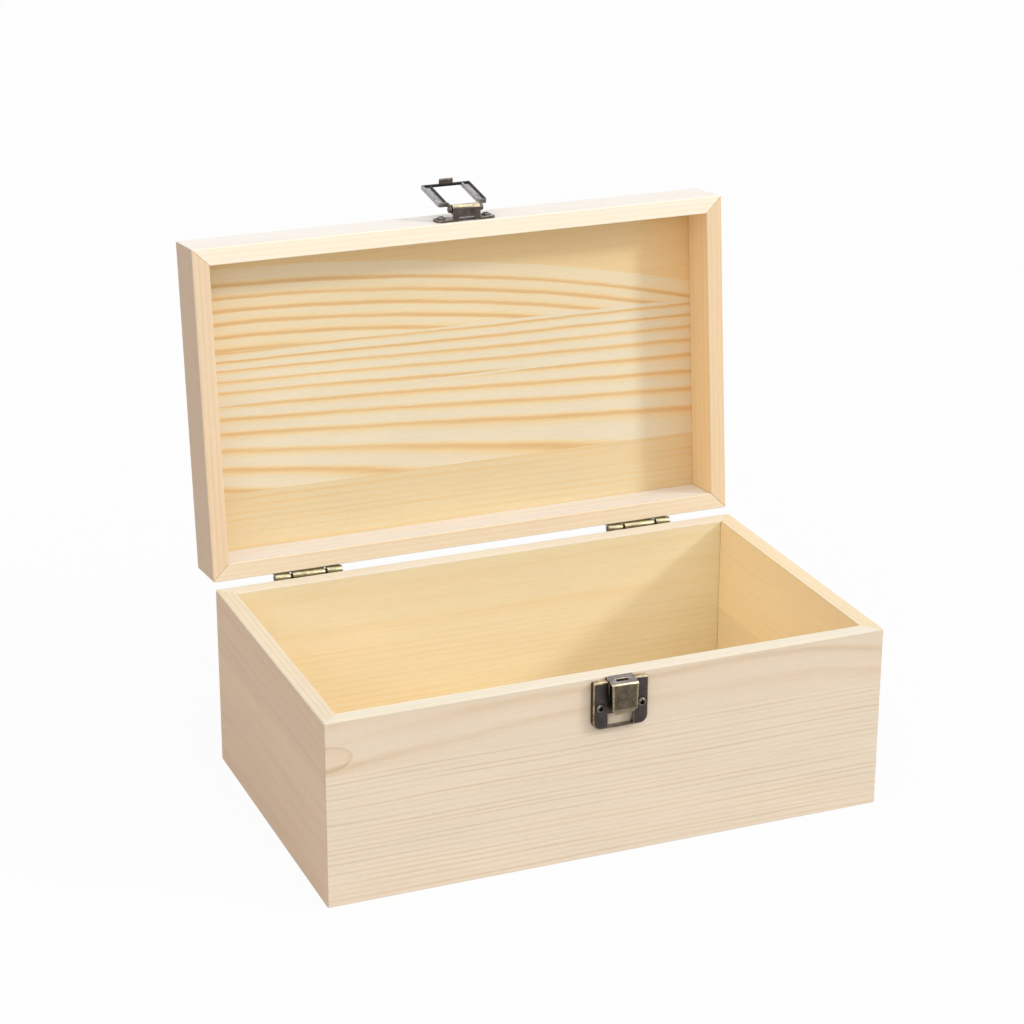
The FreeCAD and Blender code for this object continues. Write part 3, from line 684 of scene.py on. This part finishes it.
@dataclass(frozen=True)
class MetalFinish:
    """Plated sheet metal, mottled all over, with zones of wear and of painted highlight, reflection and
    shade.
    """

    tone: Colour
    zones: tuple[Zone, ...] = ()
    roughness: float = 0.4
    mottle: float = 1.3
    speckle: float = 0.8
    metallic: float = 1.0
    centre: float = 1.4
    arm_start: float = -7.85
    arm_pitch: float = 15.05
    arm_margin: float = 0.5
    screw_spread: float = 7.4
    screw_height: float = 55.4

    GRAINS: ClassVar[float] = 2.4
    PATCHES: ClassVar[float] = 0.5

    def material(self, name: str, turn: Euler = Euler()) -> bpy.types.Material:
        """Metal of one piece.

        Args:
            name: Name of the material.
            turn: Turn from the rest pose to the piece's own axes.

        Returns:
            The material.
        """
        material, graph, shader = new_material(name)
        coordinates = graph.add("ShaderNodeTexCoord")
        place = graph.scaled(coordinates.outputs["Object"], (1.0 / MM,) * 3)
        grains = graph.noise(graph.scaled(place, (self.speckle * self.GRAINS,) * 3), 3.0, 0.6)
        patches = graph.noise(graph.scaled(place, (self.speckle * self.PATCHES,) * 3), 2.0)
        measures = self._measures(graph, place, coordinates.outputs["Normal"], turn)
        colour: Feed = self.tone
        for zone in self.zones:
            share: Feed = zone.share
            for measure, start, full in zone.bounds:
                share = graph.math("MULTIPLY", graph.step(measures[measure], start, full), share)
            broken = graph.math("MULTIPLY_ADD", grains, 0.6, 1.0)
            broken = graph.math("MULTIPLY_ADD", patches, 0.5, broken)
            colour = graph.mix(graph.math("MULTIPLY", share, broken, clamp=True), colour, zone.tone)
        uneven = graph.math("MULTIPLY_ADD", patches, self.mottle, 1.0)
        uneven = graph.math("MULTIPLY_ADD", grains, self.mottle, uneven)
        graph.feed(shader.inputs["Base Color"], graph.dimmed(colour, uneven))
        graph.feed(shader.inputs["Roughness"], graph.math("MULTIPLY_ADD", patches, 0.3, self.roughness))
        shader.inputs["Metallic"].default_value = self.metallic
        graph.bump(shader, grains, strength=0.15, distance=0.03)
        return material

    def _measures(
        self, graph: ShaderGraph, place: bpy.types.NodeSocket, normal: bpy.types.NodeSocket, turn: Euler
    ) -> dict[Measure, bpy.types.NodeSocket]:
        """Outputs of every measure that the zones use.

        Args:
            graph: Graph of the material.
            place: Coordinates in millimetres.
            normal: Direction that the surface looks in.
            turn: Turn from the rest pose to the piece's own axes.

        Returns:
            Outputs by measure.
        """
        axes = graph.add("ShaderNodeSeparateXYZ")
        graph.feed(axes.inputs[0], place)
        across, depth, height = axes.outputs
        looks = graph.add("ShaderNodeSeparateXYZ")
        graph.feed(looks.inputs[0], normal)
        turned = graph.add("ShaderNodeMapping", vector_type="VECTOR")
        graph.feed(turned.inputs["Vector"], normal)
        turned.inputs["Rotation"].default_value = turn
        own = graph.add("ShaderNodeSeparateXYZ")
        graph.feed(own.inputs[0], turned.outputs[0])
        squareness = [graph.math("ABSOLUTE", output) for output in own.outputs]
        square = graph.math("MAXIMUM", graph.math("MAXIMUM", squareness[0], squareness[1]), squareness[2])
        spread = graph.math("ABSOLUTE", graph.math("SUBTRACT", across, self.centre))
        sideways = graph.math("SUBTRACT", spread, self.screw_spread)
        upright = graph.math("SUBTRACT", height, self.screw_height)
        squares = graph.math("ADD", graph.math("POWER", sideways, 2.0), graph.math("POWER", upright, 2.0))
        from_arm = graph.math("SUBTRACT", across, self.arm_start - self.arm_margin)
        return {
            Measure.DEPTH: depth,
            Measure.HEIGHT: height,
            Measure.SPREAD: spread,
            Measure.FLANK: graph.math("FLOORED_MODULO", from_arm, self.arm_pitch),
            Measure.SCREW: graph.math("SQRT", squares),
            Measure.LOOKS_UP: looks.outputs[2],
            Measure.LOOKS_LEFT: graph.math("MULTIPLY", looks.outputs[0], -1.0),
            Measure.EDGE: graph.math("SUBTRACT", 1.0, square),
        }


def soften(piece: bpy.types.Object, width: float, edges_in_second_material: bool = False) -> None:
    """Ease the sharp edges of a solid.

    Args:
        piece: The solid.
        width: Width of the eased edge in millimetres.
        edges_in_second_material: Give the eased edges the piece's second material.
    """
    weld = piece.modifiers.new("weld", "WELD")
    weld.merge_threshold = WELD_REACH * MM
    merge = piece.modifiers.new("merge_flat", "DECIMATE")
    merge.decimate_type = "DISSOLVE"
    merge.angle_limit = math.radians(FLAT_ANGLE)
    ease = piece.modifiers.new("eased_edges", "BEVEL")
    ease.width = width * MM
    ease.segments = EDGE_FACES
    ease.limit_method = "ANGLE"
    ease.angle_limit = math.radians(SHARP_ANGLE)
    ease.harden_normals = True
    ease.use_clamp_overlap = False
    if edges_in_second_material:
        ease.material = 1


def dress(piece: bpy.types.Object, *materials: bpy.types.Material) -> None:
    """Give a piece its materials in place of what it came with.

    Args:
        piece: The piece.
        materials: Materials in the order of its slots.
    """
    piece.data.materials.clear()
    for material in materials:
        piece.data.materials.append(material)
    LOG.info("%s: %s", piece.name, ", ".join(material.name for material in materials))


@dataclass
class LidSwing:
    """Turn of the lid about its hinges, from open back to closed."""

    axis_back: float = 60.9
    axis_height: float = 65.5
    open_angle: float = 95.6

    def closing(self) -> Matrix:
        """Transform from the open rest pose to the closed box, in millimetres."""
        axis = Vector((0.0, self.axis_back, self.axis_height))
        turn = Matrix.Rotation(math.radians(self.open_angle), 4, "X")
        return Matrix.Translation(axis) @ turn @ Matrix.Translation(-axis)


@dataclass
class Timber:
    """Boards of one half of the box, each with its own wood."""

    nodes: dict[str, bpy.types.Object]
    closing: Matrix
    edge_width: float = 0.35
    rim: float = 65.5
    half_width: float = 100.0
    half_depth: float = 59.0

    def board(self, node: str, frame: BoardFrame, finish: PineFinish, staves: Sequence[Stave]) -> None:
        """Dress one board.

        Args:
            node: Name of the board.
            frame: Where it lies.
            finish: Its wood.
            staves: Its staves from the top down.
        """
        piece = self.nodes[node]
        soften(piece, self.edge_width)
        dress(piece, finish.material(node, frame.matrix(self.closing), staves, self.rim))


@dataclass
class Base(Timber):
    """Lower half of the box."""

    def build(self) -> None:
        """Dress the four boards and the bottom."""
        # The inner tints are painted light on the inside faces; the planed tints make the rims paler, partly
        # planed wood and partly painted light
        pale = PineFinish(
            (0.785, 0.67, 0.53), (0.75, 0.605, 0.44), (0.615, 0.465, 0.315),
            inner=(1.15, 1.1, 1.0), planed=(1.05, 1.15, 1.22),
        )
        # Partly painted shade: the left board's outer face is darker on the side away from the light, and its
        # inner and planed tints lift the inside and the rim back up
        tan_with_painted_shade = PineFinish(
            (0.785, 0.58, 0.41), (0.72, 0.515, 0.35), (0.615, 0.425, 0.273),
            inner=(1.13, 1.19, 1.15), planed=(1.035, 1.22, 1.32),
        )
        warm = PineFinish(
            (0.85, 0.675, 0.445), (0.83, 0.62, 0.355), (0.70, 0.48, 0.235),
            inner=(1.01, 1.14, 1.17), planed=(0.95, 1.1, 1.4),
        )
        # Painted light: the same wood as the back, with a stronger inner tint lightening the inside of the
        # right board
        bright = PineFinish(
            (0.85, 0.675, 0.445), (0.83, 0.62, 0.355), (0.70, 0.48, 0.235),
            inner=(1.15, 1.22, 1.19), planed=(0.97, 1.03, 1.12),
        )
        self.board(
            "base_front_panel",
            BoardFrame(RIGHT, UP, (0.0, -self.half_depth, 0.0)),
            pale,
            (
                Stave(
                    self.rim, 8.5, 1.0, slope=-0.012, bow=0.0007, bow_from=10.0, wave=5.0, ripple=0.7,
                    late=0.5, fading=0.9, eye=(-100.0, 52.6, 10.0), ground=0.2,
                ),
                Stave(
                    46.6, 1.8, 2.0, slope=0.004, wave=1.0, ripple=0.2, late=0.75, fading=1.0, uneven=0.9,
                    outward=Outward.DOWN,
                ),
            ),
        )
        self.board(
            "base_left_panel",
            BoardFrame(FRONT, UP, (-self.half_width, 0.0, 0.0)),
            tan_with_painted_shade,
            (
                Stave(self.rim, 4.2, 3.0, slope=0.02, wave=2.5, late=0.3, fading=1.0, uneven=1.0, shade=0.97),
                Stave(43.5, 6.5, 4.0, slope=0.015, wave=3.0, late=0.25, fading=1.0, uneven=1.0, shade=1.02),
                Stave(30.0, 7.5, 19.0, slope=-0.015, wave=4.0, late=0.25, fading=1.0, uneven=1.0),
            ),
        )
        self.board(
            "base_back_panel",
            BoardFrame(RIGHT, UP, (0.0, self.half_depth, 0.0)),
            warm,
            (
                Stave(self.rim, 8.0, 5.0, slope=0.012, wave=3.5, late=0.25, fading=1.0, uneven=1.0),
                Stave(38.5, 2.4, 6.0, slope=0.003, wave=0.8, late=0.36, fading=0.9, uneven=0.7),
            ),
        )
        self.board(
            "base_right_panel",
            BoardFrame(BACK, UP, (self.half_width, 0.0, 0.0)),
            bright,
            (
                Stave(
                    self.rim, 3.6, 7.0, slope=0.006, wave=1.5, late=0.2, fading=1.0, uneven=1.0, shade=1.03
                ),
                Stave(31.0, 4.8, 8.0, slope=-0.01, wave=2.6, late=0.3, fading=1.0, uneven=1.0, shade=0.95),
            ),
        )
        self.board(
            "base_bottom_panel",
            BoardFrame(RIGHT, BACK, (0.0, 0.0, 0.0)),
            warm,
            (
                Stave(59.0, 5.5, 9.0, slope=0.02, wave=3.0, late=0.6),
                Stave(18.0, 3.0, 10.0, slope=-0.006, wave=1.2, late=0.5),
                Stave(-22.0, 6.0, 11.0, slope=0.012, bow=0.0004, wave=3.0, late=0.55),
            ),
        )


@dataclass
class Lid(Timber):
    """Upper half of the box, laid out as if it were closed."""

    rim: float = 0.0
    rim_height: float = 65.5
    rail_height: float = 20.0
    panel_height: float = 81.5

    def build(self) -> None:
        """Dress the four rails and the top panel."""
        rim_rings = Stave(0.0, 1.9, 32.0, through=1.0, wave=0.4, ripple=0.1, late=0.45)
        # The inner tints are painted light on the inside faces; the planed tints make the rims paler, partly
        # planed wood and partly painted light
        white = PineFinish(
            (0.90, 0.86, 0.805), (0.89, 0.805, 0.70), (0.815, 0.71, 0.57),
            planed=(1.095, 1.05, 0.915), rim_rings=rim_rings,
        )
        pale = PineFinish(
            (0.84, 0.73, 0.58), (0.82, 0.66, 0.46), (0.74, 0.55, 0.34), inner=(0.96, 1.05, 1.24),
            planed=(1.04, 1.03, 0.98), rim_rings=rim_rings,
        )
        gold = PineFinish(
            (0.86, 0.70, 0.50), (0.85, 0.64, 0.38), (0.78, 0.54, 0.28), inner=(1.14, 1.07, 0.9),
            planed=(1.0, 0.96, 0.9), rim_rings=rim_rings,
        )
        # Partly painted shade: the left rail's outer face is darker on the side away from the light, and its
        # inner and planed tints lift the inside and the rim back up
        tan_with_painted_shade = PineFinish(
            (0.69, 0.515, 0.37), (0.64, 0.46, 0.32), (0.56, 0.39, 0.26), inner=(1.2, 1.25, 1.25),
            planed=(1.24, 1.3, 1.24), rim_rings=rim_rings,
        )
        # The far-end tint is painted shade where the right rail's shadow falls on the panel
        rich = PineFinish(
            (0.835, 0.755, 0.575), (0.865, 0.68, 0.38), (0.765, 0.51, 0.25), far_end_painted_shade=(0.985, 0.90, 0.81)
        )
        rails = (
            ("lid_front_rail", RIGHT, (0.0, -self.half_depth, self.rim_height), white, 12.0, 3.4),
            ("lid_back_rail", RIGHT, (0.0, self.half_depth, self.rim_height), pale, 13.0, 4.6),
            ("lid_left_rail", FRONT, (-self.half_width, 0.0, self.rim_height), tan_with_painted_shade, 14.0, 2.2),
            ("lid_right_rail", BACK, (self.half_width, 0.0, self.rim_height), gold, 15.0, 3.8),
        )
        for node, along, zero, finish, seed, ring_width in rails:
            frame = BoardFrame(along, UP, zero, on_lid=True)
            stave = Stave(
                self.rail_height, ring_width, seed, through=1.4, wave=1.0, late=0.4, fading=0.9, uneven=0.6
            )
            self.board(node, frame, finish, (stave,))
        self.board(
            "lid_top_panel",
            BoardFrame(RIGHT, FRONT, (0.0, 0.0, self.panel_height), on_lid=True),
            rich,
            (
                # The top stave is lifted a little (shade=1.03), partly painted light against the front rail's
                # shadow
                Stave(
                    53.0, 4.63, 16.0, first_ring=6.67, bow=0.00066, bow_from=-94.0, wave=0.6, ripple=0.35,
                    outward=Outward.DOWN, heart=0.42, heart_from=48.2, fading=0.3, ground=0.18, shade=1.03,
                ),
                Stave(
                    18.8, 2.8, 17.0, first_ring=-0.6, widening=0.10, slope=0.0095, fan=0.0020,
                    slope_from=-94.0, droop=0.000045, droop_from=-11.5, wave=0.6, ripple=0.4,
                    fading=0.2, uneven=0.45,
                ),
                Stave(
                    -32.5, 2.4, 18.0, slope=0.004, wave=0.8, ripple=0.15, late=0.3,
                    fading=1.0, uneven=0.8, ground=0.34, shade=0.945,
                ),
            ),
        )


@dataclass
class Hinges:
    """Two butt hinges at the back."""

    nodes: dict[str, bpy.types.Object]
    edge_width: float = 0.12
    # Dark brass: partly the metal's tone and partly painted shade on the top and bottom of each barrel
    brass: Colour = (0.215, 0.172, 0.085)
    painted_barrel_highlight: Colour = (0.46, 0.42, 0.27)
    edge_brass: Colour = (0.17, 0.14, 0.075)
    pin_brown: Colour = (0.07, 0.055, 0.04)

    def build(self) -> None:
        """Dress leaves, pins and screws."""
        # Painted highlight: a pale stripe along each barrel on the faces that look part way up
        painted_highlight_band = Zone(self.painted_barrel_highlight, ((Measure.LOOKS_UP, 0.38, 0.55), (Measure.LOOKS_UP, 0.95, 0.82)))
        surface = MetalFinish(self.brass, (painted_highlight_band,), mottle=1.2).material("hinge_brass")
        edges = MetalFinish(self.edge_brass, mottle=0.8, roughness=0.36).material("hinge_brass_edges")
        pin_metal = MetalFinish(self.pin_brown).material("hinge_pin_metal")
        for side in ("left", "right"):
            for leaf in ("base_leaf", "lid_leaf", "base_screws", "lid_screws"):
                piece = self.nodes[f"{side}_hinge_{leaf}"]
                # The eased edges take the second material, a slightly darker brass
                soften(piece, self.edge_width, edges_in_second_material=True)
                dress(piece, surface, edges)
            dress(self.nodes[f"{side}_hinge_pin"], pin_metal)


@dataclass
class Latch:
    """Catch, hasp and loop in antique bronze."""

    nodes: dict[str, bpy.types.Object]
    closing: Matrix
    loop_tilt: float = 8.5
    slate: Colour = (0.068, 0.057, 0.053)
    umber: Colour = (0.125, 0.101, 0.070)
    # Very dark tone: painted shade on the loop's inner walls and round the catch's screw heads, and the loop
    # bar's dark tone
    dark_and_painted_shade: Colour = (0.014, 0.012, 0.012)
    # Golden edges: partly wear and partly painted highlight
    gold: Colour = (0.36, 0.295, 0.18)
    # Painted highlight on the tongue's bend and the hood's crest
    painted_highlight_cream: Colour = (0.52, 0.445, 0.31)
    # Painted reflection of the bright sky on faces that look up
    painted_sky_reflection: Colour = (0.27, 0.25, 0.25)
    # Painted reflection on the loop's floors and outer flanks
    painted_grey_reflection: Colour = (0.40, 0.38, 0.38)
    bronze: Colour = (0.075, 0.048, 0.02)
    # Painted highlight on the catch plate's faces that look up
    painted_top_highlight: Colour = (0.55, 0.46, 0.32)
    # Painted highlight ring on the catch's domed screw heads
    painted_head_highlight: Colour = (0.17, 0.145, 0.115)
    # Painted shade in the screw recesses
    painted_recess_shade: Colour = (0.004, 0.004, 0.004)
    hasp_brown: Colour = (0.092, 0.076, 0.062)
    tab_brown: Colour = (0.115, 0.094, 0.077)
    # Painted highlight on the top of the loop's tab
    painted_tab_highlight: Colour = (0.26, 0.235, 0.21)
    ear_brown: Colour = (0.14, 0.123, 0.10)
    pin_brown: Colour = (0.095, 0.082, 0.066)

    def build(self) -> None:
        """Dress the plates, the loop, the pin and the screws."""
        lid_turn = self.closing.to_euler()
        loop_turn = Euler((math.radians(-self.loop_tilt), 0.0, 0.0))
        self._piece("catch_plate", self._catch(), 0.25)
        self._piece("catch_screws", self._catch_screws(), 0.1)
        self._piece("hasp_plate", self._hasp(), 0.2, lid_turn)
        self._piece("hasp_screws", self._hasp_screws(), 0.1, lid_turn)
        self._piece("hasp_loop", self._loop(), 0.12, loop_turn)
        self._piece("hasp_pivot_pin", MetalFinish(self.pin_brown), 0.1, loop_turn)

    def _piece(self, node: str, finish: MetalFinish, edge_width: float, turn: Euler = Euler()) -> None:
        """Ease the edges of a piece and dress it.

        Args:
            node: Name of the piece.
            finish: Its metal.
            edge_width: Width of its eased edges in millimetres.
            turn: Turn from the rest pose to the piece's own axes.
        """
        piece = self.nodes[node]
        soften(piece, edge_width)
        dress(piece, finish.material(node, turn))

    def _catch(self) -> MetalFinish:
        """Slate plate and brown tongue; golden edges, partly wear and partly painted highlight.

        The tongue's bend has a painted highlight, and faces that look up a painted sky reflection.
        """
        tongue = (Measure.DEPTH, -62.3, -63.2)
        behind_tongue = (Measure.DEPTH, -62.3, -61.6)
        off_the_board = (Measure.DEPTH, -60.2, -60.6)
        along_sides = (Measure.SPREAD, 3.75, 4.3)
        over_tongue = (Measure.SPREAD, 4.9, 4.7)
        beside_tongue = (Measure.SPREAD, 4.7, 4.9)
        lower_end = (Measure.HEIGHT, 54.1, 53.4)
        upper_bend = (Measure.HEIGHT, 63.7, 64.0)
        return MetalFinish(
            self.slate,
            (
                Zone(self.bronze, ((Measure.LOOKS_LEFT, 0.7, 0.95), behind_tongue)),
                Zone(self.umber, (tongue,)),
                # Golden edges, tongue sides and lower end: partly wear and partly painted highlight
                Zone(self.gold, ((Measure.EDGE, 0.02, 0.14), off_the_board), 0.9),
                Zone(self.gold, (tongue, along_sides), 0.85),
                Zone(self.gold, (tongue, lower_end), 0.6),
                # Painted sky reflection on the tongue's top
                Zone(self.painted_sky_reflection, ((Measure.LOOKS_UP, 0.8, 0.95), over_tongue)),
                # Painted highlight on the plate's faces that look up beside the tongue
                Zone(self.painted_top_highlight, ((Measure.LOOKS_UP, 0.7, 0.95), beside_tongue)),
                # Painted highlight on the tongue's bend
                Zone(self.painted_highlight_cream, (tongue, upper_bend, (Measure.EDGE, 0.02, 0.12))),
            ),
        )

    def _catch_screws(self) -> MetalFinish:
        """Dark screw heads: painted shade round the edge, a painted highlight ring, painted shade in the
        recess.
        """
        outer_edge = (Measure.SCREW, 1.35, 1.6)
        within_edge = (Measure.SCREW, 1.6, 1.35)
        round_recess = (Measure.SCREW, 0.7, 0.95)
        recess = (Measure.SCREW, 0.85, 0.6)
        return MetalFinish(
            self.slate,
            (
                # Painted shade round the edge of each head
                Zone(self.dark_and_painted_shade, (outer_edge,), 0.8),
                # Painted highlight ring round the recess
                Zone(self.painted_head_highlight, (round_recess, within_edge)),
                # Painted shade in the recess
                Zone(self.painted_recess_shade, (recess,)),
            ),
            mottle=0.2,
        )

    def _hasp(self) -> MetalFinish:
        """Brown plate and hood; golden edges, partly wear and partly painted highlight.

        The crest has a painted highlight, and the upper face a painted sky reflection.
        """
        below_hood = (Measure.HEIGHT, 187.0, 186.5)
        crest = (Measure.HEIGHT, 188.4, 189.2)
        return MetalFinish(
            self.hasp_brown,
            (
                # Golden edges: partly wear and partly painted highlight
                Zone(self.gold, ((Measure.EDGE, 0.03, 0.16),), 0.5),
                # Painted sky reflection on the plate's upper face
                Zone(self.painted_sky_reflection, ((Measure.LOOKS_UP, 0.85, 0.97), below_hood), 0.8),
                # Painted highlight on the hood's crest
                Zone(self.painted_highlight_cream, ((Measure.LOOKS_UP, 0.45, 0.75), crest)),
            ),
        )

    def _hasp_screws(self) -> MetalFinish:
        """Screw heads with a painted grey sky reflection on top."""
        # Painted sky reflection on the tops of the heads
        return MetalFinish(self.slate, (Zone(self.painted_sky_reflection, ((Measure.LOOKS_UP, 0.6, 0.95),), 0.9),))

    def _loop(self) -> MetalFinish:
        """Grey floors and outer flanks as painted reflection, very dark inner walls as painted shade.

        The bar is very dark too; the tab is brown with a painted highlight on its top, and the ears are
        brown.
        """
        behind_bar = (Measure.DEPTH, 95.0, 95.5)
        tab = (Measure.HEIGHT, 193.0, 193.4)
        tab_top = (Measure.HEIGHT, 194.4, 194.7)
        ears = (Measure.DEPTH, 80.3, 79.8)
        arm_floor = ((Measure.DEPTH, 79.6, 80.1), (Measure.DEPTH, 95.6, 95.2), (Measure.FLANK, 3.35, 3.1))
        outer_flank = (Measure.FLANK, 1.4, 1.0)
        return MetalFinish(
            # Very dark body: painted shade on the channels' inner walls; the bar takes the same dark tone
            self.dark_and_painted_shade,
            (
                Zone(self.tab_brown, (tab, behind_bar)),
                # Painted highlight on the tab's top
                Zone(self.painted_tab_highlight, (tab_top, behind_bar)),
                Zone(self.ear_brown, (ears,)),
                # Painted reflection of the sky on the floors and of the bright side on the outer flanks
                Zone(self.painted_grey_reflection, ((Measure.LOOKS_UP, 0.8, 0.95), *arm_floor)),
                Zone(self.painted_grey_reflection, ((Measure.LOOKS_LEFT, 0.6, 0.9), outer_flank)),
            ),
            metallic=0.5,
        )


@dataclass
class Studio:
    """White floor, soft light and the photograph's camera."""

    floor_size: float = 6.0
    floor_white: float = 0.72
    floor_glow: float = 0.94
    floor_drop: float = 0.05
    world_strength: float = 0.24
    key_from: Place = (1.5, -1.0, 1.05)
    key_strength: float = 1.05
    key_softness: float = 8.0
    top_from: Place = (-0.11, -0.42, 1.0)
    top_strength: float = 2.35
    top_softness: float = 110.0
    camera_place: Place = (-0.342347, -0.803969, 0.435957)
    camera_turn: Place = (69.04309, -0.13222, -22.28239)
    focal_pixels: float = 2752.13
    sensor_width: float = 36.0

    def build(self) -> None:
        """Set up floor, world, light and camera."""
        self._floor()
        self._world()
        self._lamp("key", self.key_from, self.key_strength, self.key_softness)
        self._lamp("overhead", self.top_from, self.top_strength, self.top_softness)
        self._camera()
        bpy.context.scene.view_settings.view_transform = "Standard"

    @staticmethod
    def _seen(graph: ShaderGraph) -> bpy.types.NodeSocket:
        """One for rays that show the background: camera, glossy and transmission rays.

        Args:
            graph: Graph to add the node to.

        Returns:
            The share of such rays.
        """
        path = graph.add("ShaderNodeLightPath").outputs
        shiny = graph.math("MAXIMUM", path["Is Glossy Ray"], path["Is Transmission Ray"])
        return graph.math("MAXIMUM", path["Is Camera Ray"], shiny)

    def _floor(self) -> None:
        """White floor that keeps a faint shadow of the box."""
        half = self.floor_size / 2
        mesh = bpy.data.meshes.new("floor")
        corners = [(-half, -half, 0.0), (half, -half, 0.0), (half, half, 0.0), (-half, half, 0.0)]
        mesh.from_pydata(corners, [], [(0, 1, 2, 3)])
        floor = bpy.data.objects.new("floor", mesh)
        floor.location.z = -self.floor_drop * MM
        bpy.context.scene.collection.objects.link(floor)
        material = bpy.data.materials.new("white_floor")
        material.use_nodes = True
        graph = ShaderGraph(material.node_tree)
        graph.tree.nodes.clear()
        paper = graph.add("ShaderNodeBsdfDiffuse")
        graph.feed(paper.inputs["Color"], (self.floor_white,) * 3)
        white = graph.add("ShaderNodeEmission")
        glow = graph.add("ShaderNodeMixShader")
        graph.feed(glow.inputs[0], graph.math("MULTIPLY", self._seen(graph), self.floor_glow))
        graph.feed(glow.inputs[1], paper.outputs[0])
        graph.feed(glow.inputs[2], white.outputs[0])
        graph.feed(graph.add("ShaderNodeOutputMaterial").inputs["Surface"], glow.outputs[0])
        mesh.materials.append(material)

    def _world(self) -> None:
        """Even soft light from all round, white where it is seen."""
        world = bpy.data.worlds.new("studio")
        world.use_nodes = True
        bpy.context.scene.world = world
        graph = ShaderGraph(world.node_tree)
        graph.tree.nodes.clear()
        soft = graph.add("ShaderNodeBackground")
        soft.inputs["Strength"].default_value = self.world_strength
        graph.feed(soft.inputs["Color"], (1.0, 1.0, 1.0))
        white = graph.add("ShaderNodeBackground")
        graph.feed(white.inputs["Color"], (1.0, 1.0, 1.0))
        either = graph.add("ShaderNodeMixShader")
        graph.feed(either.inputs[0], self._seen(graph))
        graph.feed(either.inputs[1], soft.outputs[0])
        graph.feed(either.inputs[2], white.outputs[0])
        graph.feed(graph.add("ShaderNodeOutputWorld").inputs["Surface"], either.outputs[0])

    @staticmethod
    def _lamp(name: str, comes_from: Place, strength: float, softness: float) -> None:
        """Distant lamp.

        Args:
            name: Name of the lamp.
            comes_from: Direction that the light comes from.
            strength: Strength of the lamp.
            softness: Angle that the lamp fills, in degrees.
        """
        light = bpy.data.lights.new(name, "SUN")
        light.energy = strength
        light.angle = math.radians(softness)
        lamp = bpy.data.objects.new(name, light)
        lamp.rotation_euler = Vector(comes_from).to_track_quat("Z", "Y").to_euler()
        bpy.context.scene.collection.objects.link(lamp)

    def _camera(self) -> None:
        """Camera at the photograph's place."""
        lens = bpy.data.cameras.new("camera")
        lens.sensor_fit = "HORIZONTAL"
        lens.sensor_width = self.sensor_width
        lens.lens = self.focal_pixels / PICTURE_WIDTH * self.sensor_width
        camera = bpy.data.objects.new("camera", lens)
        camera.location = self.camera_place
        camera.rotation_euler = Euler([math.radians(angle) for angle in self.camera_turn])
        bpy.context.scene.collection.objects.link(camera)
        bpy.context.scene.camera = camera


def main() -> None:
    """Build every sub-assembly in order."""
    logging.basicConfig(level=logging.INFO, format="%(name)s: %(message)s")
    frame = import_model()
    nodes = frame["nodes"]
    closing = LidSwing().closing()
    Base(nodes, closing).build()
    Lid(nodes, closing).build()
    Hinges(nodes).build()
    Latch(nodes, closing).build()
    Studio().build()


if __name__ == "__main__":
    main()
